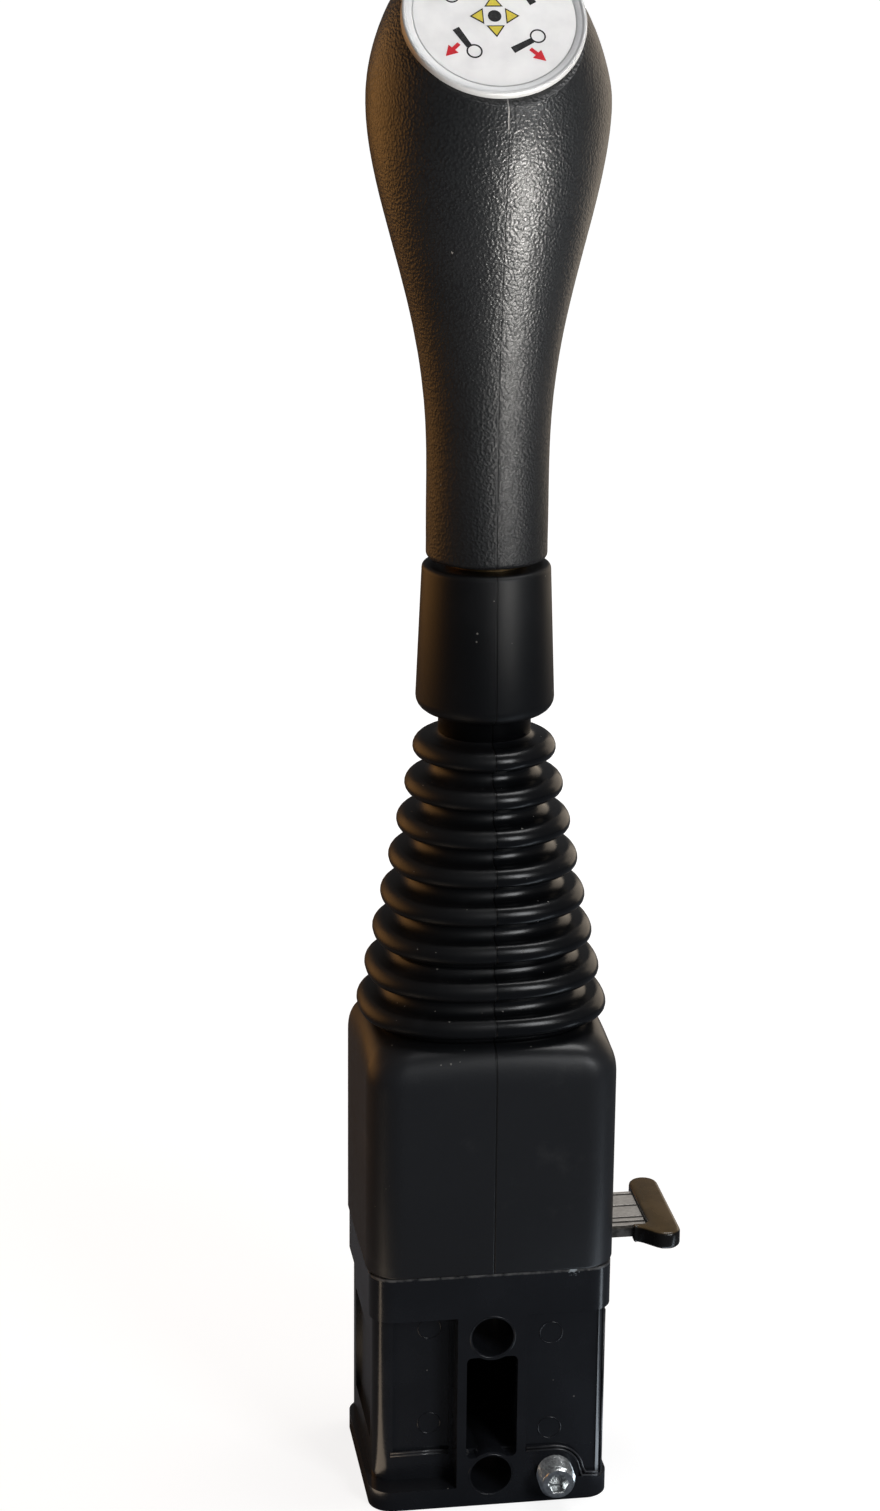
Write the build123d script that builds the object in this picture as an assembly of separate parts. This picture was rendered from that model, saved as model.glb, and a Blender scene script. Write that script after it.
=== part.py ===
from build123d import *
import math
import os

# Two-axis hydraulic remote-control joystick with a neutral lock, in millimetres.
# The origin is on the lever's axis at the underside of the housing. +Z points up the lever,
# +X points to the side where the lock's pull handle comes out, and the operator sits at -Y.

# ---- Driving dimensions: housing --------------------------------------------------------
body_width = 52.0
body_depth = 42.0
body_corner = 5.0
flange_height = 4.5
collar_bottom = 45.0
collar_top = 55.0
core_inset = 1.2            # the core's side faces stand back from the collar and flange
core_corner = 3.5
wall = 2.4
floor_top = 12.0
rib_width = 15.0
step_depth = 5.4            # one half of the front and of the back stands back by this
panel_depth = 0.7
panel_margin = 1.9
side_pocket_depth = 0.9
side_pocket_width = 24.0

# ---- Mounting bolts and cable inlets ----------------------------------------------------
bolt_clearance = 9.0
bolt_low_z = 7.3
bolt_spacing = 32.9
bolt_boss_wall = 0.9
window_width = 11.0
window_end_gap = 4.2        # from a bolt hole's centre to the near end of the window
window_corner = 1.2
inlet_diameter = 12.5
inlet_offset_x = 13.8
front_inlet_y = -11.5
rear_inlet_y = 6.0
inlet_boss_wall = 1.6
inlet_boss_height = 9.0
set_screw_diameter = 8.0
set_screw_stand_out = 5.4   # from the housing's front or rear face to the screw's end
set_screw_gap = 0.3         # from the screw's tip to the cable inlet's wall
set_screw_z = 7.0
set_screw_socket = 4.0
set_screw_boss_radius = 5.4

# ---- Gimbal -----------------------------------------------------------------------------
pivot_z = 72.0
tower_top = 80.0
tower_corner = 5.0
pivot_pin_diameter = 5.0
roll_pin_diameter = 4.0
running_clearance = 0.05
pivot_boss_radius = 4.6
ring_outer = 31.0
ring_inner = 23.0
ring_height = 8.0
trunnion_reach = 17.6
side_play = 0.4
hub_diameter = 18.0
hub_height = 12.0
hub_neck_diameter = 11.0
hub_neck_length = 6.3
ball_diameter = 7.0
ball_neck_diameter = 4.2
pitch_ball_x = 15.0
pitch_ball_y = -12.6
roll_ball_x = -14.0
roll_ball_drop = 14.0
arm_width = 7.0
arm_thickness = 2.8         # of the arm under the roll ball's centre line
lug_length = 6.0
lug_width = 5.2
lug_height = 6.0

# ---- Lever, nut and handle --------------------------------------------------------------
rod_diameter = 12.0
rod_seat_depth = 10.0
nut_across_flats = 19.0
nut_height = 9.5
insert_diameter = 18.0
insert_collar_diameter = 15.8
handle_bottom = 205.7
handle_top = 329.5
handle_neck_radius = 12.4
handle_head_radius = 24.0
handle_neck_straight = 6.0  # the neck's straight length at its lower end
handle_swell_start = 16.3   # from the handle's lower end to where the neck starts to swell
handle_crown_height = 32.3  # from the widest place up to the top
handle_depth_ratio = 0.97
crown_lean = 2.6            # the crown's top leans this far towards the operator
head_lean = 0.9             # and the widest place this far
crown_side_lean = 1.7       # the same two towards -X, for the hand that holds it from the side
head_side_lean = 0.9
insert_depth = 42.0
insert_thread_depth = 14.0

# ---- Function plate ---------------------------------------------------------------------
plate_tilt = 40.0           # from upright, so that it faces forwards and up
plate_centre_x = -1.9
plate_centre_y = -11.6
plate_drop = 15.9           # from the handle's top down to the plate's centre
bezel_diameter = 35.6
bezel_width = 2.2
bezel_height = 1.4
bezel_seat = 1.6
plate_thickness = 1.2
plate_recess = 0.4
pocket_diameter = 22.0
pocket_depth = 26.0

# ---- Rubber gaiter ----------------------------------------------------------------------
skirt_overhang = 0.5        # the skirt stands out past the housing by this
skirt_corner = 7.0
skirt_wall = 2.0
skirt_top = 102.5
skirt_shoulder = 4.5
skirt_fit = 0.3
ring_count = 8
bellows_top_z = 166.0       # centre of the topmost ring
bellows_bottom_z = 110.0    # centre of the lowest ring
bellows_top_radius = 14.8
bellows_side_inset = 0.3    # from the skirt's side in to the lowest ring
bellows_front_inset = 1.3   # from the skirt's front in to the lowest ring
bellows_fold = 4.8          # from a ring's crest in to the valley
bellows_wall = 1.6
crest_flat = 2.4
crest_round = 1.3
valley_flat = 1.4
neck_radius = 9.6
sleeve_bottom = 170.4
sleeve_bottom_radius = 14.3
sleeve_top_radius = 13.2
sleeve_wall = 1.8
sleeve_gap = 1.2            # between the sleeve's top and the handle

# ---- Neutral lock -----------------------------------------------------------------------
strip_width = 18.0
strip_thickness = 2.0
strip_clearance = 0.15
strip_outer_x = 38.8
shelf_thickness = 2.6
shelf_inner_x = 9.0
lock_pin_diameter = 4.0
lock_pin_reach = 17.5
lock_mouth_x = 10.8
lock_slot_length = 9.0
guide_wall = 1.4
guide_start_x = 12.0
guide_screw_diameter = 2.5
guide_head_diameter = 4.4
guide_foot_length = 4.0
pull_length = 29.0
pull_width = 6.4
pull_thickness = 3.9
pull_neck = 4.0             # the neck reaches in from the bar by this
pull_neck_wall = 1.2        # beside the strip
pull_edge_round = 0.9
pull_socket = 3.0

# ---- Places that follow from the sizes above --------------------------------------------
bolt_high_z = bolt_low_z + bolt_spacing
bolt_boss_radius = bolt_clearance / 2 + bolt_boss_wall
core_width = body_width - 2 * core_inset
skirt_width = body_width + 2 * skirt_overhang
skirt_depth = body_depth + 2 * skirt_overhang
skirt_inner_width = skirt_width - 2 * skirt_wall
skirt_inner_depth = skirt_depth - 2 * skirt_wall
tower_width = skirt_inner_width - 2 * skirt_fit
tower_depth = skirt_inner_depth - 2 * skirt_fit
tower_inner_x = tower_width / 2 - wall
shelf_top = collar_top + 0.7
strip_bottom = shelf_top + strip_clearance
strip_top = strip_bottom + strip_thickness
hub_bottom = pivot_z - hub_height / 2
hub_top = pivot_z + hub_height / 2
neck_bottom = hub_bottom - hub_neck_length
rod_bottom = hub_top - rod_seat_depth
sleeve_top = handle_bottom - sleeve_gap
insert_bottom = sleeve_top - sleeve_wall - 1.2
nut_bottom = insert_bottom - nut_height
rod_top = handle_bottom + insert_thread_depth
bellows_seat = sleeve_bottom - 1.1
bellows_bottom_radius = skirt_width / 2 - bellows_side_inset
bellows_bottom_ratio = (skirt_depth / 2 - bellows_front_inset) / bellows_bottom_radius
handle_swell_z = handle_bottom + handle_swell_start
handle_widest_z = handle_top - handle_crown_height
plate_centre_z = handle_top - plate_drop
pitch_lug_x = pitch_ball_x - ball_diameter / 2 - 1.4
roll_arm_x = roll_ball_x + ball_diameter / 2 + 1.2
stud_depth = 4.0
strip_bed = strip_width / 2 + strip_clearance
guide_foot_x = tower_inner_x - 0.6 - guide_foot_length
guide_screw_x = guide_foot_x + guide_foot_length / 2
guide_screw_y = strip_bed + guide_wall + guide_head_diameter / 2 + 0.1
guide_foot_y = guide_screw_y + guide_head_diameter / 2 + 0.2
inlets = ((inlet_offset_x, front_inlet_y), (-inlet_offset_x, rear_inlet_y))


def upright(plan, bottom, top):
    """Raise a plan drawing from one height to another."""
    return Pos(0, 0, bottom) * extrude(plan, top - bottom)


def rod_x(radius, start, end, y=0.0, z=0.0):
    """A round bar along X between two x values."""
    return Pos(start, y, z) * Rot(0, 90, 0) * Cylinder(
        radius, end - start, align=(Align.CENTER, Align.CENTER, Align.MIN))


def rod_y(radius, start, end, x=0.0, z=0.0):
    """A round bar along Y between two y values."""
    return Pos(x, start, z) * Rot(-90, 0, 0) * Cylinder(
        radius, end - start, align=(Align.CENTER, Align.CENTER, Align.MIN))


def rod_z(radius, bottom, top, x=0.0, y=0.0):
    """A round bar along Z between two heights."""
    return Pos(x, y, bottom) * Cylinder(
        radius, top - bottom, align=(Align.CENTER, Align.CENTER, Align.MIN))


def block(x0, x1, y0, y1, z0, z1):
    """A box from its two opposite corners."""
    return Pos(x0, y0, z0) * Box(
        x1 - x0, y1 - y0, z1 - z0, align=(Align.MIN, Align.MIN, Align.MIN))


def turned(points):
    """A solid of revolution about Z from a closed outline of (radius, height) points."""
    outline = Polyline(*[(radius, 0, height) for radius, height in points], close=True)
    return revolve(make_face(outline), Axis.Z, 360)


# ---- Housing ----------------------------------------------------------------------------
def core_plan(inset):
    """The core's outline: a rectangle with its front-left and rear-right set back."""
    plan = Rectangle(core_width - 2 * inset, body_depth - 2 * inset)
    notch_width = core_width / 2 - rib_width / 2
    notch_depth = step_depth
    notch_x = -(rib_width / 2 - inset + notch_width / 2)
    notch_y = -(body_depth / 2 - inset - notch_depth / 2)
    for turn in (0, 180):
        plan -= Rot(0, 0, turn) * Pos(notch_x, notch_y) * Rectangle(notch_width, notch_depth)
    outer = [v for v in plan.vertices() if abs(v.X) > core_width / 2 - inset - 0.01]
    return fillet(outer, max(core_corner - inset, 0.8))


def panel_outline():
    """The shallow panel beside the rib, with its lower edge led round the set screw's boss."""
    left = rib_width / 2
    right = core_width / 2 - panel_margin
    low = flange_height + 0.8
    plan = Pos(left, low) * Rectangle(
        right - left, collar_bottom - low, align=(Align.MIN, Align.MIN))
    lip_z = set_screw_z + set_screw_boss_radius
    plan -= Pos(left, low) * Rectangle(
        inlet_offset_x - left, lip_z - low, align=(Align.MIN, Align.MIN))
    plan -= Pos(inlet_offset_x, set_screw_z) * Circle(set_screw_boss_radius)
    return plan


def upright_panel():
    """The panel as a cutter through the front face on the right."""
    front = Plane(origin=(0, -body_depth / 2 + panel_depth, 0), x_dir=(1, 0, 0), z_dir=(0, -1, 0))
    return extrude(front * panel_outline(), 2 * panel_depth)


def set_back_panel():
    """The same panel on the part of the front that stands back, on the left."""
    face_y = -body_depth / 2 + step_depth
    left = -core_width / 2 + core_corner + 0.6
    lip_z = set_screw_z + set_screw_boss_radius - 1.2
    return block(left, -rib_width / 2 - 0.9, face_y - 1, face_y + panel_depth,
                 lip_z, collar_bottom)


def side_pocket():
    """The shallow pocket in the core's left side face."""
    face_x = -core_width / 2
    return block(face_x - 1, face_x + side_pocket_depth,
                 -side_pocket_width / 2 + 2, side_pocket_width / 2 + 2,
                 floor_top, collar_bottom - 9)


def window():
    """The window through the rib, between the two bolt holes."""
    low = bolt_low_z + window_end_gap
    high = bolt_high_z - window_end_gap - 0.5
    plan = RectangleRounded(window_width, high - low, window_corner)
    front = Plane(origin=(0, -body_depth / 2 - 1, (low + high) / 2),
                  x_dir=(1, 0, 0), z_dir=(0, 1, 0))
    return extrude(front * plan, wall + 2)


def tower():
    """The upright frame inside the gaiter that carries the gimbal's two fixed pins."""
    outer = upright(RectangleRounded(tower_width, tower_depth, tower_corner),
                    collar_top, tower_top)
    inner = upright(RectangleRounded(tower_width - 2 * wall, tower_depth - 2 * wall,
                                     tower_corner - wall), collar_top - 0.01, tower_top + 1)
    frame = outer - inner
    inside = trunnion_reach + side_play
    for start, end in ((-tower_inner_x - 0.5, -inside), (inside, tower_inner_x + 0.5)):
        frame += rod_x(pivot_boss_radius, start, end, z=pivot_z)
        frame -= rod_x(pivot_pin_diameter / 2, start - wall - 1, end + wall + 1, z=pivot_z)
    return frame


def shelf():
    """The ledge inside the tower that the lock strip slides on, left open for the front cable."""
    low = shelf_top - shelf_thickness
    end_x = tower_inner_x + 0.5
    bed_half = strip_bed + guide_wall
    full_half = tower_depth / 2 - wall + 0.5
    return (block(shelf_inner_x, end_x, -bed_half, bed_half, low, shelf_top)
            + block(guide_foot_x - 0.4, end_x, -full_half, full_half, low, shelf_top))


def housing():
    plan = RectangleRounded(body_width, body_depth, body_corner)
    body = upright(plan, 0, flange_height)
    body += upright(core_plan(0), 0, collar_bottom + 1)
    body += upright(plan, collar_bottom, collar_top)
    tower_plan = RectangleRounded(tower_width - 2 * wall, tower_depth - 2 * wall,
                                  tower_corner - wall)
    body -= upright(core_plan(wall), floor_top, collar_bottom + 1)
    body -= upright(tower_plan, collar_bottom, collar_top + 1)
    body += tower()
    body += shelf()
    body -= window()
    for z in (bolt_low_z, bolt_high_z):
        body += rod_y(bolt_boss_radius, -body_depth / 2, body_depth / 2, z=z)
    boss_top = floor_top + inlet_boss_height
    cutters = upright_panel() + set_back_panel() + side_pocket()
    for turn, (x, y) in zip((0, 180), inlets):
        body += rod_z(inlet_diameter / 2 + inlet_boss_wall, 0, boss_top, x, y)
        body -= rod_z(inlet_diameter / 2, -1, boss_top + 1, x, y)
        toward = math.copysign(body_depth, y)
        body -= rod_y(set_screw_diameter / 2, min(y, toward), max(y, toward), x, set_screw_z)
        body -= Rot(0, 0, turn) * cutters
    for z in (bolt_low_z, bolt_high_z):
        body -= rod_y(bolt_clearance / 2, -body_depth, body_depth, z=z)
    body -= block(tower_inner_x - 2, tower_width, -strip_bed, strip_bed,
                  shelf_top, strip_top + strip_clearance)
    for y in (-guide_screw_y, guide_screw_y):
        body -= rod_z(guide_screw_diameter / 2, shelf_top - shelf_thickness - 1, shelf_top + 1,
                      guide_screw_x, y)
    return body


def cable_screw(x, y):
    """A socket set screw that clamps the cable in the inlet at x, y."""
    side = math.copysign(1, y)
    outer = body_depth / 2 + set_screw_stand_out
    inner = abs(y) + inlet_diameter / 2 + set_screw_gap
    screw = rod_z(set_screw_diameter / 2, inner, outer)
    screw = chamfer(screw.edges().sort_by(Axis.Z)[-1], 0.9)
    socket_radius = set_screw_socket / math.sqrt(3)
    screw -= Pos(0, 0, outer - 4.0) * extrude(RegularPolygon(socket_radius, 6), 5.0)
    return Pos(x, 0, set_screw_z) * Rot(-90 * side, 0, 0) * screw


# ---- Gimbal -----------------------------------------------------------------------------
def pivot_pin(side):
    """A fixed pin along X, in the tower's wall on one side."""
    inner = ring_inner / 2 + 0.6
    outer = tower_width / 2 - 0.1
    if side > 0:
        return rod_x(pivot_pin_diameter / 2, inner, outer, z=pivot_z)
    return rod_x(pivot_pin_diameter / 2, -outer, -inner, z=pivot_z)


def gimbal_ring():
    """The ring that pitches about X and carries the roll pins and the pitch ball stud."""
    low = pivot_z - ring_height / 2
    high = pivot_z + ring_height / 2
    ring = rod_z(ring_outer / 2, low, high)
    ring += rod_x(pivot_boss_radius - 0.6, -trunnion_reach, trunnion_reach, z=pivot_z)
    ring += block(pitch_lug_x - lug_length, pitch_lug_x,
                  pitch_ball_y - lug_width / 2, pitch_ball_y + lug_width / 2,
                  pivot_z - lug_height / 2, pivot_z + lug_height / 2)
    ring -= rod_z(ring_inner / 2, low - 1, high + 1)
    ring -= rod_x(pivot_pin_diameter / 2 + running_clearance, -body_width, body_width, z=pivot_z)
    ring -= rod_y(roll_pin_diameter / 2, -body_depth, body_depth, z=pivot_z)
    ring -= rod_x(ball_neck_diameter / 2, pitch_lug_x - stud_depth, pitch_ball_x,
                  pitch_ball_y, pivot_z)
    return ring


def roll_pin(side):
    """A pin along Y from the ring into the hub, at the front or the rear."""
    inner = hub_diameter / 2 - 5.0
    outer = ring_outer / 2 - 0.2
    if side > 0:
        return rod_y(roll_pin_diameter / 2, inner, outer, z=pivot_z)
    return rod_y(roll_pin_diameter / 2, -outer, -inner, z=pivot_z)


def pitch_ball_stud():
    """The ball stud on the ring for the cable that follows fore-and-aft movement."""
    stud = rod_x(ball_neck_diameter / 2, pitch_lug_x - stud_depth, pitch_ball_x,
                 pitch_ball_y, pivot_z)
    stud += Pos(pitch_ball_x, pitch_ball_y, pivot_z) * Sphere(ball_diameter / 2)
    return stud


def roll_ball_stud():
    """The ball stud on the hub's arm for the cable that follows sideways movement."""
    z = pivot_z - roll_ball_drop
    stud = rod_x(ball_neck_diameter / 2, roll_ball_x, roll_arm_x + stud_depth, z=z)
    stud += Pos(roll_ball_x, 0, z) * Sphere(ball_diameter / 2)
    return stud


def lever_hub():
    """The hub inside the ring, with the neck and arm under it."""
    hub = rod_z(hub_diameter / 2, hub_bottom, hub_top)
    hub += rod_z(hub_neck_diameter / 2, neck_bottom, hub_bottom + 1)
    arm_z = pivot_z - roll_ball_drop
    hub += block(roll_arm_x, -lock_pin_diameter / 2 - 0.4, -arm_width / 2, arm_width / 2,
                 arm_z - arm_thickness, neck_bottom + 2)
    hub -= rod_z(rod_diameter / 2, rod_bottom, hub_top + 1)
    hub -= rod_y(roll_pin_diameter / 2 + running_clearance, -hub_diameter, hub_diameter, z=pivot_z)
    hub -= rod_x(ball_neck_diameter / 2, roll_arm_x - 1, roll_arm_x + stud_depth, z=arm_z)
    hub -= rod_z(lock_pin_diameter / 2, neck_bottom - 1, neck_bottom + 4)
    return hub


def lock_pin():
    """The pin under the hub that the lock strip's slot takes hold of."""
    low = pivot_z - lock_pin_reach
    pin = rod_z(lock_pin_diameter / 2, low, neck_bottom + 4)
    return chamfer(pin.edges().sort_by(Axis.Z)[0], 0.6)


# ---- Lever and handle -------------------------------------------------------------------
def lever_rod():
    """The lever's round steel rod, from the hub into the handle's insert."""
    rod = rod_z(rod_diameter / 2, rod_bottom, rod_top)
    roll_hole = rod_y(roll_pin_diameter / 2 + 0.4, -hub_diameter, hub_diameter, z=pivot_z)
    return chamfer(rod.edges().sort_by(Axis.Z)[-1], 1.0) - roll_hole


def lock_nut():
    """The hexagon nut that locks the handle on the rod."""
    corner_radius = nut_across_flats / math.sqrt(3)
    nut = upright(RegularPolygon(corner_radius, 6), nut_bottom, insert_bottom)
    cone = nut_height + 2
    dome = turned([(0, nut_bottom - 1), (corner_radius - 0.6, nut_bottom - 1),
                   (corner_radius + 1.6, nut_bottom + 1.4),
                   (corner_radius + 1.6, insert_bottom - 1.4),
                   (corner_radius - 0.6, nut_bottom - 1 + cone), (0, nut_bottom - 1 + cone)])
    return (nut & dome) - rod_z(rod_diameter / 2, nut_bottom - 1, insert_bottom + 1)


def handle_insert():
    """The threaded metal insert moulded into the handle."""
    inner = rod_diameter / 2
    top = handle_bottom + insert_depth
    return turned([(inner, insert_bottom), (insert_collar_diameter / 2, insert_bottom),
                   (insert_collar_diameter / 2, handle_bottom),
                   (insert_diameter / 2, handle_bottom), (insert_diameter / 2, top),
                   (inner, top)])


def handle_sections():
    """Height, half width, half depth and centre of the handle, from the bottom up."""
    neck = handle_neck_radius
    swell = handle_head_radius - neck
    rows = [(handle_bottom, neck, 0.0, 0.0),
            (handle_bottom + handle_neck_straight, neck, 0.0, 0.0)]
    steps = 9
    for step in range(steps + 1):
        share = step / steps
        eased = share ** 1.3
        rise = 3 * eased ** 2 - 2 * eased ** 3
        height = handle_swell_z + (handle_widest_z - handle_swell_z) * share
        rows.append((height, neck + swell * rise, head_side_lean * rise, head_lean * rise))
    for share in (0.22, 0.42, 0.6, 0.76, 0.89, 0.97):
        across = math.sqrt(1 - share ** 1.7)
        rows.append((handle_widest_z + handle_crown_height * share, handle_head_radius * across,
                     head_side_lean + crown_side_lean * share, head_lean + crown_lean * share))
    return [(height, half, half * handle_depth_ratio, -side, -lean)
            for height, half, side, lean in rows]


def plate_plane(height):
    """The plane of the function plate, moved out along its normal by a height."""
    tilt = math.radians(plate_tilt)
    normal = (0, -math.cos(tilt), math.sin(tilt))
    origin = (plate_centre_x, plate_centre_y + normal[1] * height,
              plate_centre_z + normal[2] * height)
    return Plane(origin=origin, x_dir=(1, 0, 0), z_dir=normal)


def handle_grip():
    """The moulded handle: a slim neck that swells to a head cut off at a slant."""
    rings = []
    for height, half_width, half_depth, centre_x, centre_y in handle_sections():
        rings.append(Pos(centre_x, centre_y, height) * Ellipse(half_width, half_depth))
    grip = loft(rings)
    grip = fillet(grip.edges().sort_by(Axis.Z)[0], 1.2)
    grip -= extrude(plate_plane(0) * Circle(3 * handle_head_radius), 2 * handle_head_radius)
    seat = extrude(plate_plane(-bezel_seat) * Circle(bezel_diameter / 2), 2 * bezel_seat)
    pocket = extrude(plate_plane(-bezel_seat) * Circle(pocket_diameter / 2), -pocket_depth)
    grip -= seat
    grip -= pocket
    grip -= rod_z(insert_diameter / 2, handle_bottom - 1, handle_bottom + insert_depth)
    return grip


def plate_bezel():
    """The grey ring that holds the function plate in the handle's slanted face."""
    outer = extrude(plate_plane(-bezel_seat) * Circle(bezel_diameter / 2),
                    bezel_seat + bezel_height)
    outer = chamfer(outer.edges().sort_by(Axis.Z)[-1], 0.5)
    opening = extrude(plate_plane(-bezel_seat) * Circle(bezel_diameter / 2 - bezel_width),
                      bezel_seat + bezel_height + 1)
    return outer - opening


def function_plate():
    """The round plate inside the bezel."""
    top = bezel_height - plate_recess
    return extrude(plate_plane(top - plate_thickness) * Circle(bezel_diameter / 2 - bezel_width),
                   plate_thickness)


# ---- Gaiter -----------------------------------------------------------------------------
def gaiter_sleeve():
    """The top of the gaiter: a sleeve round the nut, with a neck that grips the rod."""
    inner = rod_diameter / 2
    low = sleeve_bottom
    top = sleeve_top
    lip = insert_collar_diameter / 2
    bottom_inner = sleeve_bottom_radius - sleeve_wall
    top_inner = sleeve_top_radius - sleeve_wall
    return turned([(inner, bellows_seat), (neck_radius, bellows_seat), (neck_radius, low),
                   (sleeve_bottom_radius - 2.8, low + 0.3), (sleeve_bottom_radius - 0.8, low + 1.4),
                   (sleeve_bottom_radius, low + 3.6), (sleeve_top_radius, top - 1.6),
                   (sleeve_top_radius - 0.5, top - 0.5), (sleeve_top_radius - 1.5, top),
                   (lip, top), (lip, top - sleeve_wall), (top_inner, top - sleeve_wall),
                   (bottom_inner, low + 3.6), (bottom_inner - 2.0, low + 1.9), (inner, low + 1.9)])


def bellows_ring(index):
    """Height, radius across X and depth ratio of one ring, counted from the top."""
    share = index / (ring_count - 1)
    height = bellows_top_z + (bellows_bottom_z - bellows_top_z) * share
    radius = bellows_top_radius + (bellows_bottom_radius - bellows_top_radius) * share
    ratio = 1.0 + (bellows_bottom_ratio - 1.0) * share
    return height, radius, ratio


def bellows_outline(offset):
    """Height, radius and depth ratio down the folds, moved in by an offset."""
    pitch = (bellows_top_z - bellows_bottom_z) / (ring_count - 1)
    rows = [(bellows_seat, neck_radius, 1.0)]
    for index in range(ring_count):
        height, radius, ratio = bellows_ring(index)
        half = crest_flat / 2
        rows.append((height + half + crest_round, radius - crest_round, ratio))
        rows.append((height + half, radius, ratio))
        rows.append((height - half, radius, ratio))
        rows.append((height - half - crest_round, radius - crest_round, ratio))
        if index < ring_count - 1:
            valley = radius - bellows_fold + (bellows_ring(1)[1] - bellows_top_radius) / 2
            rows.append((height - pitch / 2 + valley_flat / 2, valley, ratio))
            rows.append((height - pitch / 2 - valley_flat / 2, valley, ratio))
    height, radius, ratio = bellows_ring(ring_count - 1)
    foot_z = skirt_top
    rows.append((height - crest_flat - crest_round, radius - 2.4, ratio))
    rows.append((foot_z, radius - 1.6, ratio))
    shifted = []
    for height, radius, ratio in rows:
        shifted.append((height, radius - offset, radius * ratio - offset))
    return shifted


def bellows_shell(offset):
    """A closed form lofted straight from one oval of the folds to the next."""
    ovals = []
    for height, half_width, half_depth in bellows_outline(offset):
        ovals.append(Pos(0, 0, height) * Ellipse(half_width, half_depth))
    return loft(ovals, ruled=True)


def gaiter_bellows():
    """The folds between the sleeve and the skirt, hollow all the way down."""
    return bellows_shell(0) - bellows_shell(bellows_wall)


def gaiter_skirt():
    """The square foot of the gaiter, drawn over the housing's tower."""
    outer = upright(RectangleRounded(skirt_width, skirt_depth, skirt_corner),
                    collar_top, skirt_top)
    outer = fillet(outer.faces().sort_by(Axis.Z)[-1].edges(), skirt_shoulder)
    inner = upright(RectangleRounded(skirt_inner_width, skirt_inner_depth,
                                     skirt_corner - skirt_wall),
                    collar_top - 1, skirt_top - skirt_wall)
    inner = fillet(inner.faces().sort_by(Axis.Z)[-1].edges(), skirt_shoulder - skirt_wall)
    mouth_x = bellows_bottom_radius - 1.6 - bellows_wall
    mouth_y = (bellows_bottom_radius - 1.6) * bellows_bottom_ratio - bellows_wall
    mouth = Pos(0, 0, skirt_top - skirt_wall - 1) * extrude(Ellipse(mouth_x, mouth_y), skirt_wall + 2)
    notch_half = strip_width / 2 + 1.0
    notch = block(0, skirt_width, -notch_half, notch_half, collar_top - 1, strip_top + 1.0)
    return outer - inner - mouth - notch


# ---- Neutral lock -----------------------------------------------------------------------
def slide_guide():
    """The bridge on the shelf that keeps the lock strip down, with a foot on each side."""
    cover_top = strip_top + strip_clearance + guide_wall
    bridge_half = strip_bed + guide_wall
    end_x = guide_foot_x + guide_foot_length
    guide = block(guide_start_x, end_x, -bridge_half, bridge_half, shelf_top, cover_top)
    guide += block(guide_foot_x, end_x, -guide_foot_y, guide_foot_y,
                   shelf_top, shelf_top + guide_wall)
    guide -= block(0, body_width, -strip_bed, strip_bed, shelf_top - 1,
                   strip_top + strip_clearance)
    for y in (-guide_screw_y, guide_screw_y):
        guide -= rod_z(guide_screw_diameter / 2, shelf_top - 1, shelf_top + guide_wall + 1,
                       guide_screw_x, y)
    return guide


def guide_screw(side):
    """One pan-head screw of the slide guide."""
    y = side * guide_screw_y
    seat = shelf_top + guide_wall
    screw = rod_z(guide_screw_diameter / 2, shelf_top - shelf_thickness, seat, guide_screw_x, y)
    screw += rod_z(guide_head_diameter / 2, seat, seat + 2.0, guide_screw_x, y)
    cross = block(guide_screw_x - 1.4, guide_screw_x + 1.4, y - 0.3, y + 0.3, seat + 1.0, seat + 3)
    cross += block(guide_screw_x - 0.3, guide_screw_x + 0.3, y - 1.4, y + 1.4, seat + 1.0, seat + 3)
    return screw - cross


def lock_strip():
    """The zinc-plated strip with the slot that centres the lock pin."""
    half = strip_width / 2
    strip = block(lock_mouth_x, strip_outer_x, -half, half, strip_bottom, strip_top)
    slot_half = lock_pin_diameter / 2 + 0.15
    slot_end = lock_mouth_x + lock_slot_length
    strip -= block(lock_mouth_x - 1, slot_end, -slot_half, slot_half, strip_bottom - 1, strip_top + 1)
    strip -= rod_z(slot_half, strip_bottom - 1, strip_top + 1, slot_end)
    mouth = Polyline((lock_mouth_x - 1, -slot_half - 3.2), (lock_mouth_x + 2.2, 0),
                     (lock_mouth_x - 1, slot_half + 3.2), close=True)
    return strip - upright(make_face(mouth), strip_bottom - 1, strip_top + 1)


def lock_handle():
    """The moulded T-shaped pull, whose short neck cradles the strip's outer end."""
    centre_z = (strip_bottom + strip_top) / 2
    low = centre_z - pull_thickness / 2
    high = centre_z + pull_thickness / 2
    inner_x = strip_outer_x - pull_socket
    half = strip_width / 2
    neck_half = half + pull_neck_wall
    end_radius = pull_width / 2 - 0.1
    shoulder = pull_length / 2 - end_radius
    plan = Pos(inner_x + pull_width / 2, 0) * RectangleRounded(pull_width, pull_length, end_radius)
    plan += make_face(Polyline(
        (inner_x - pull_neck, -neck_half), (inner_x, -shoulder), (inner_x + end_radius, -shoulder),
        (inner_x + end_radius, shoulder), (inner_x, shoulder), (inner_x - pull_neck, neck_half),
        close=True))
    pull = upright(plan, low, high)
    pull = fillet(pull.edges().group_by(Axis.Z)[-1], pull_edge_round)
    pull = fillet(pull.edges().group_by(Axis.Z)[0], pull_edge_round)
    pull -= block(0, strip_outer_x, -half, half, strip_bottom, strip_top)
    return pull - block(0, inner_x, -half, half, strip_bottom, high + 1)


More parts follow.
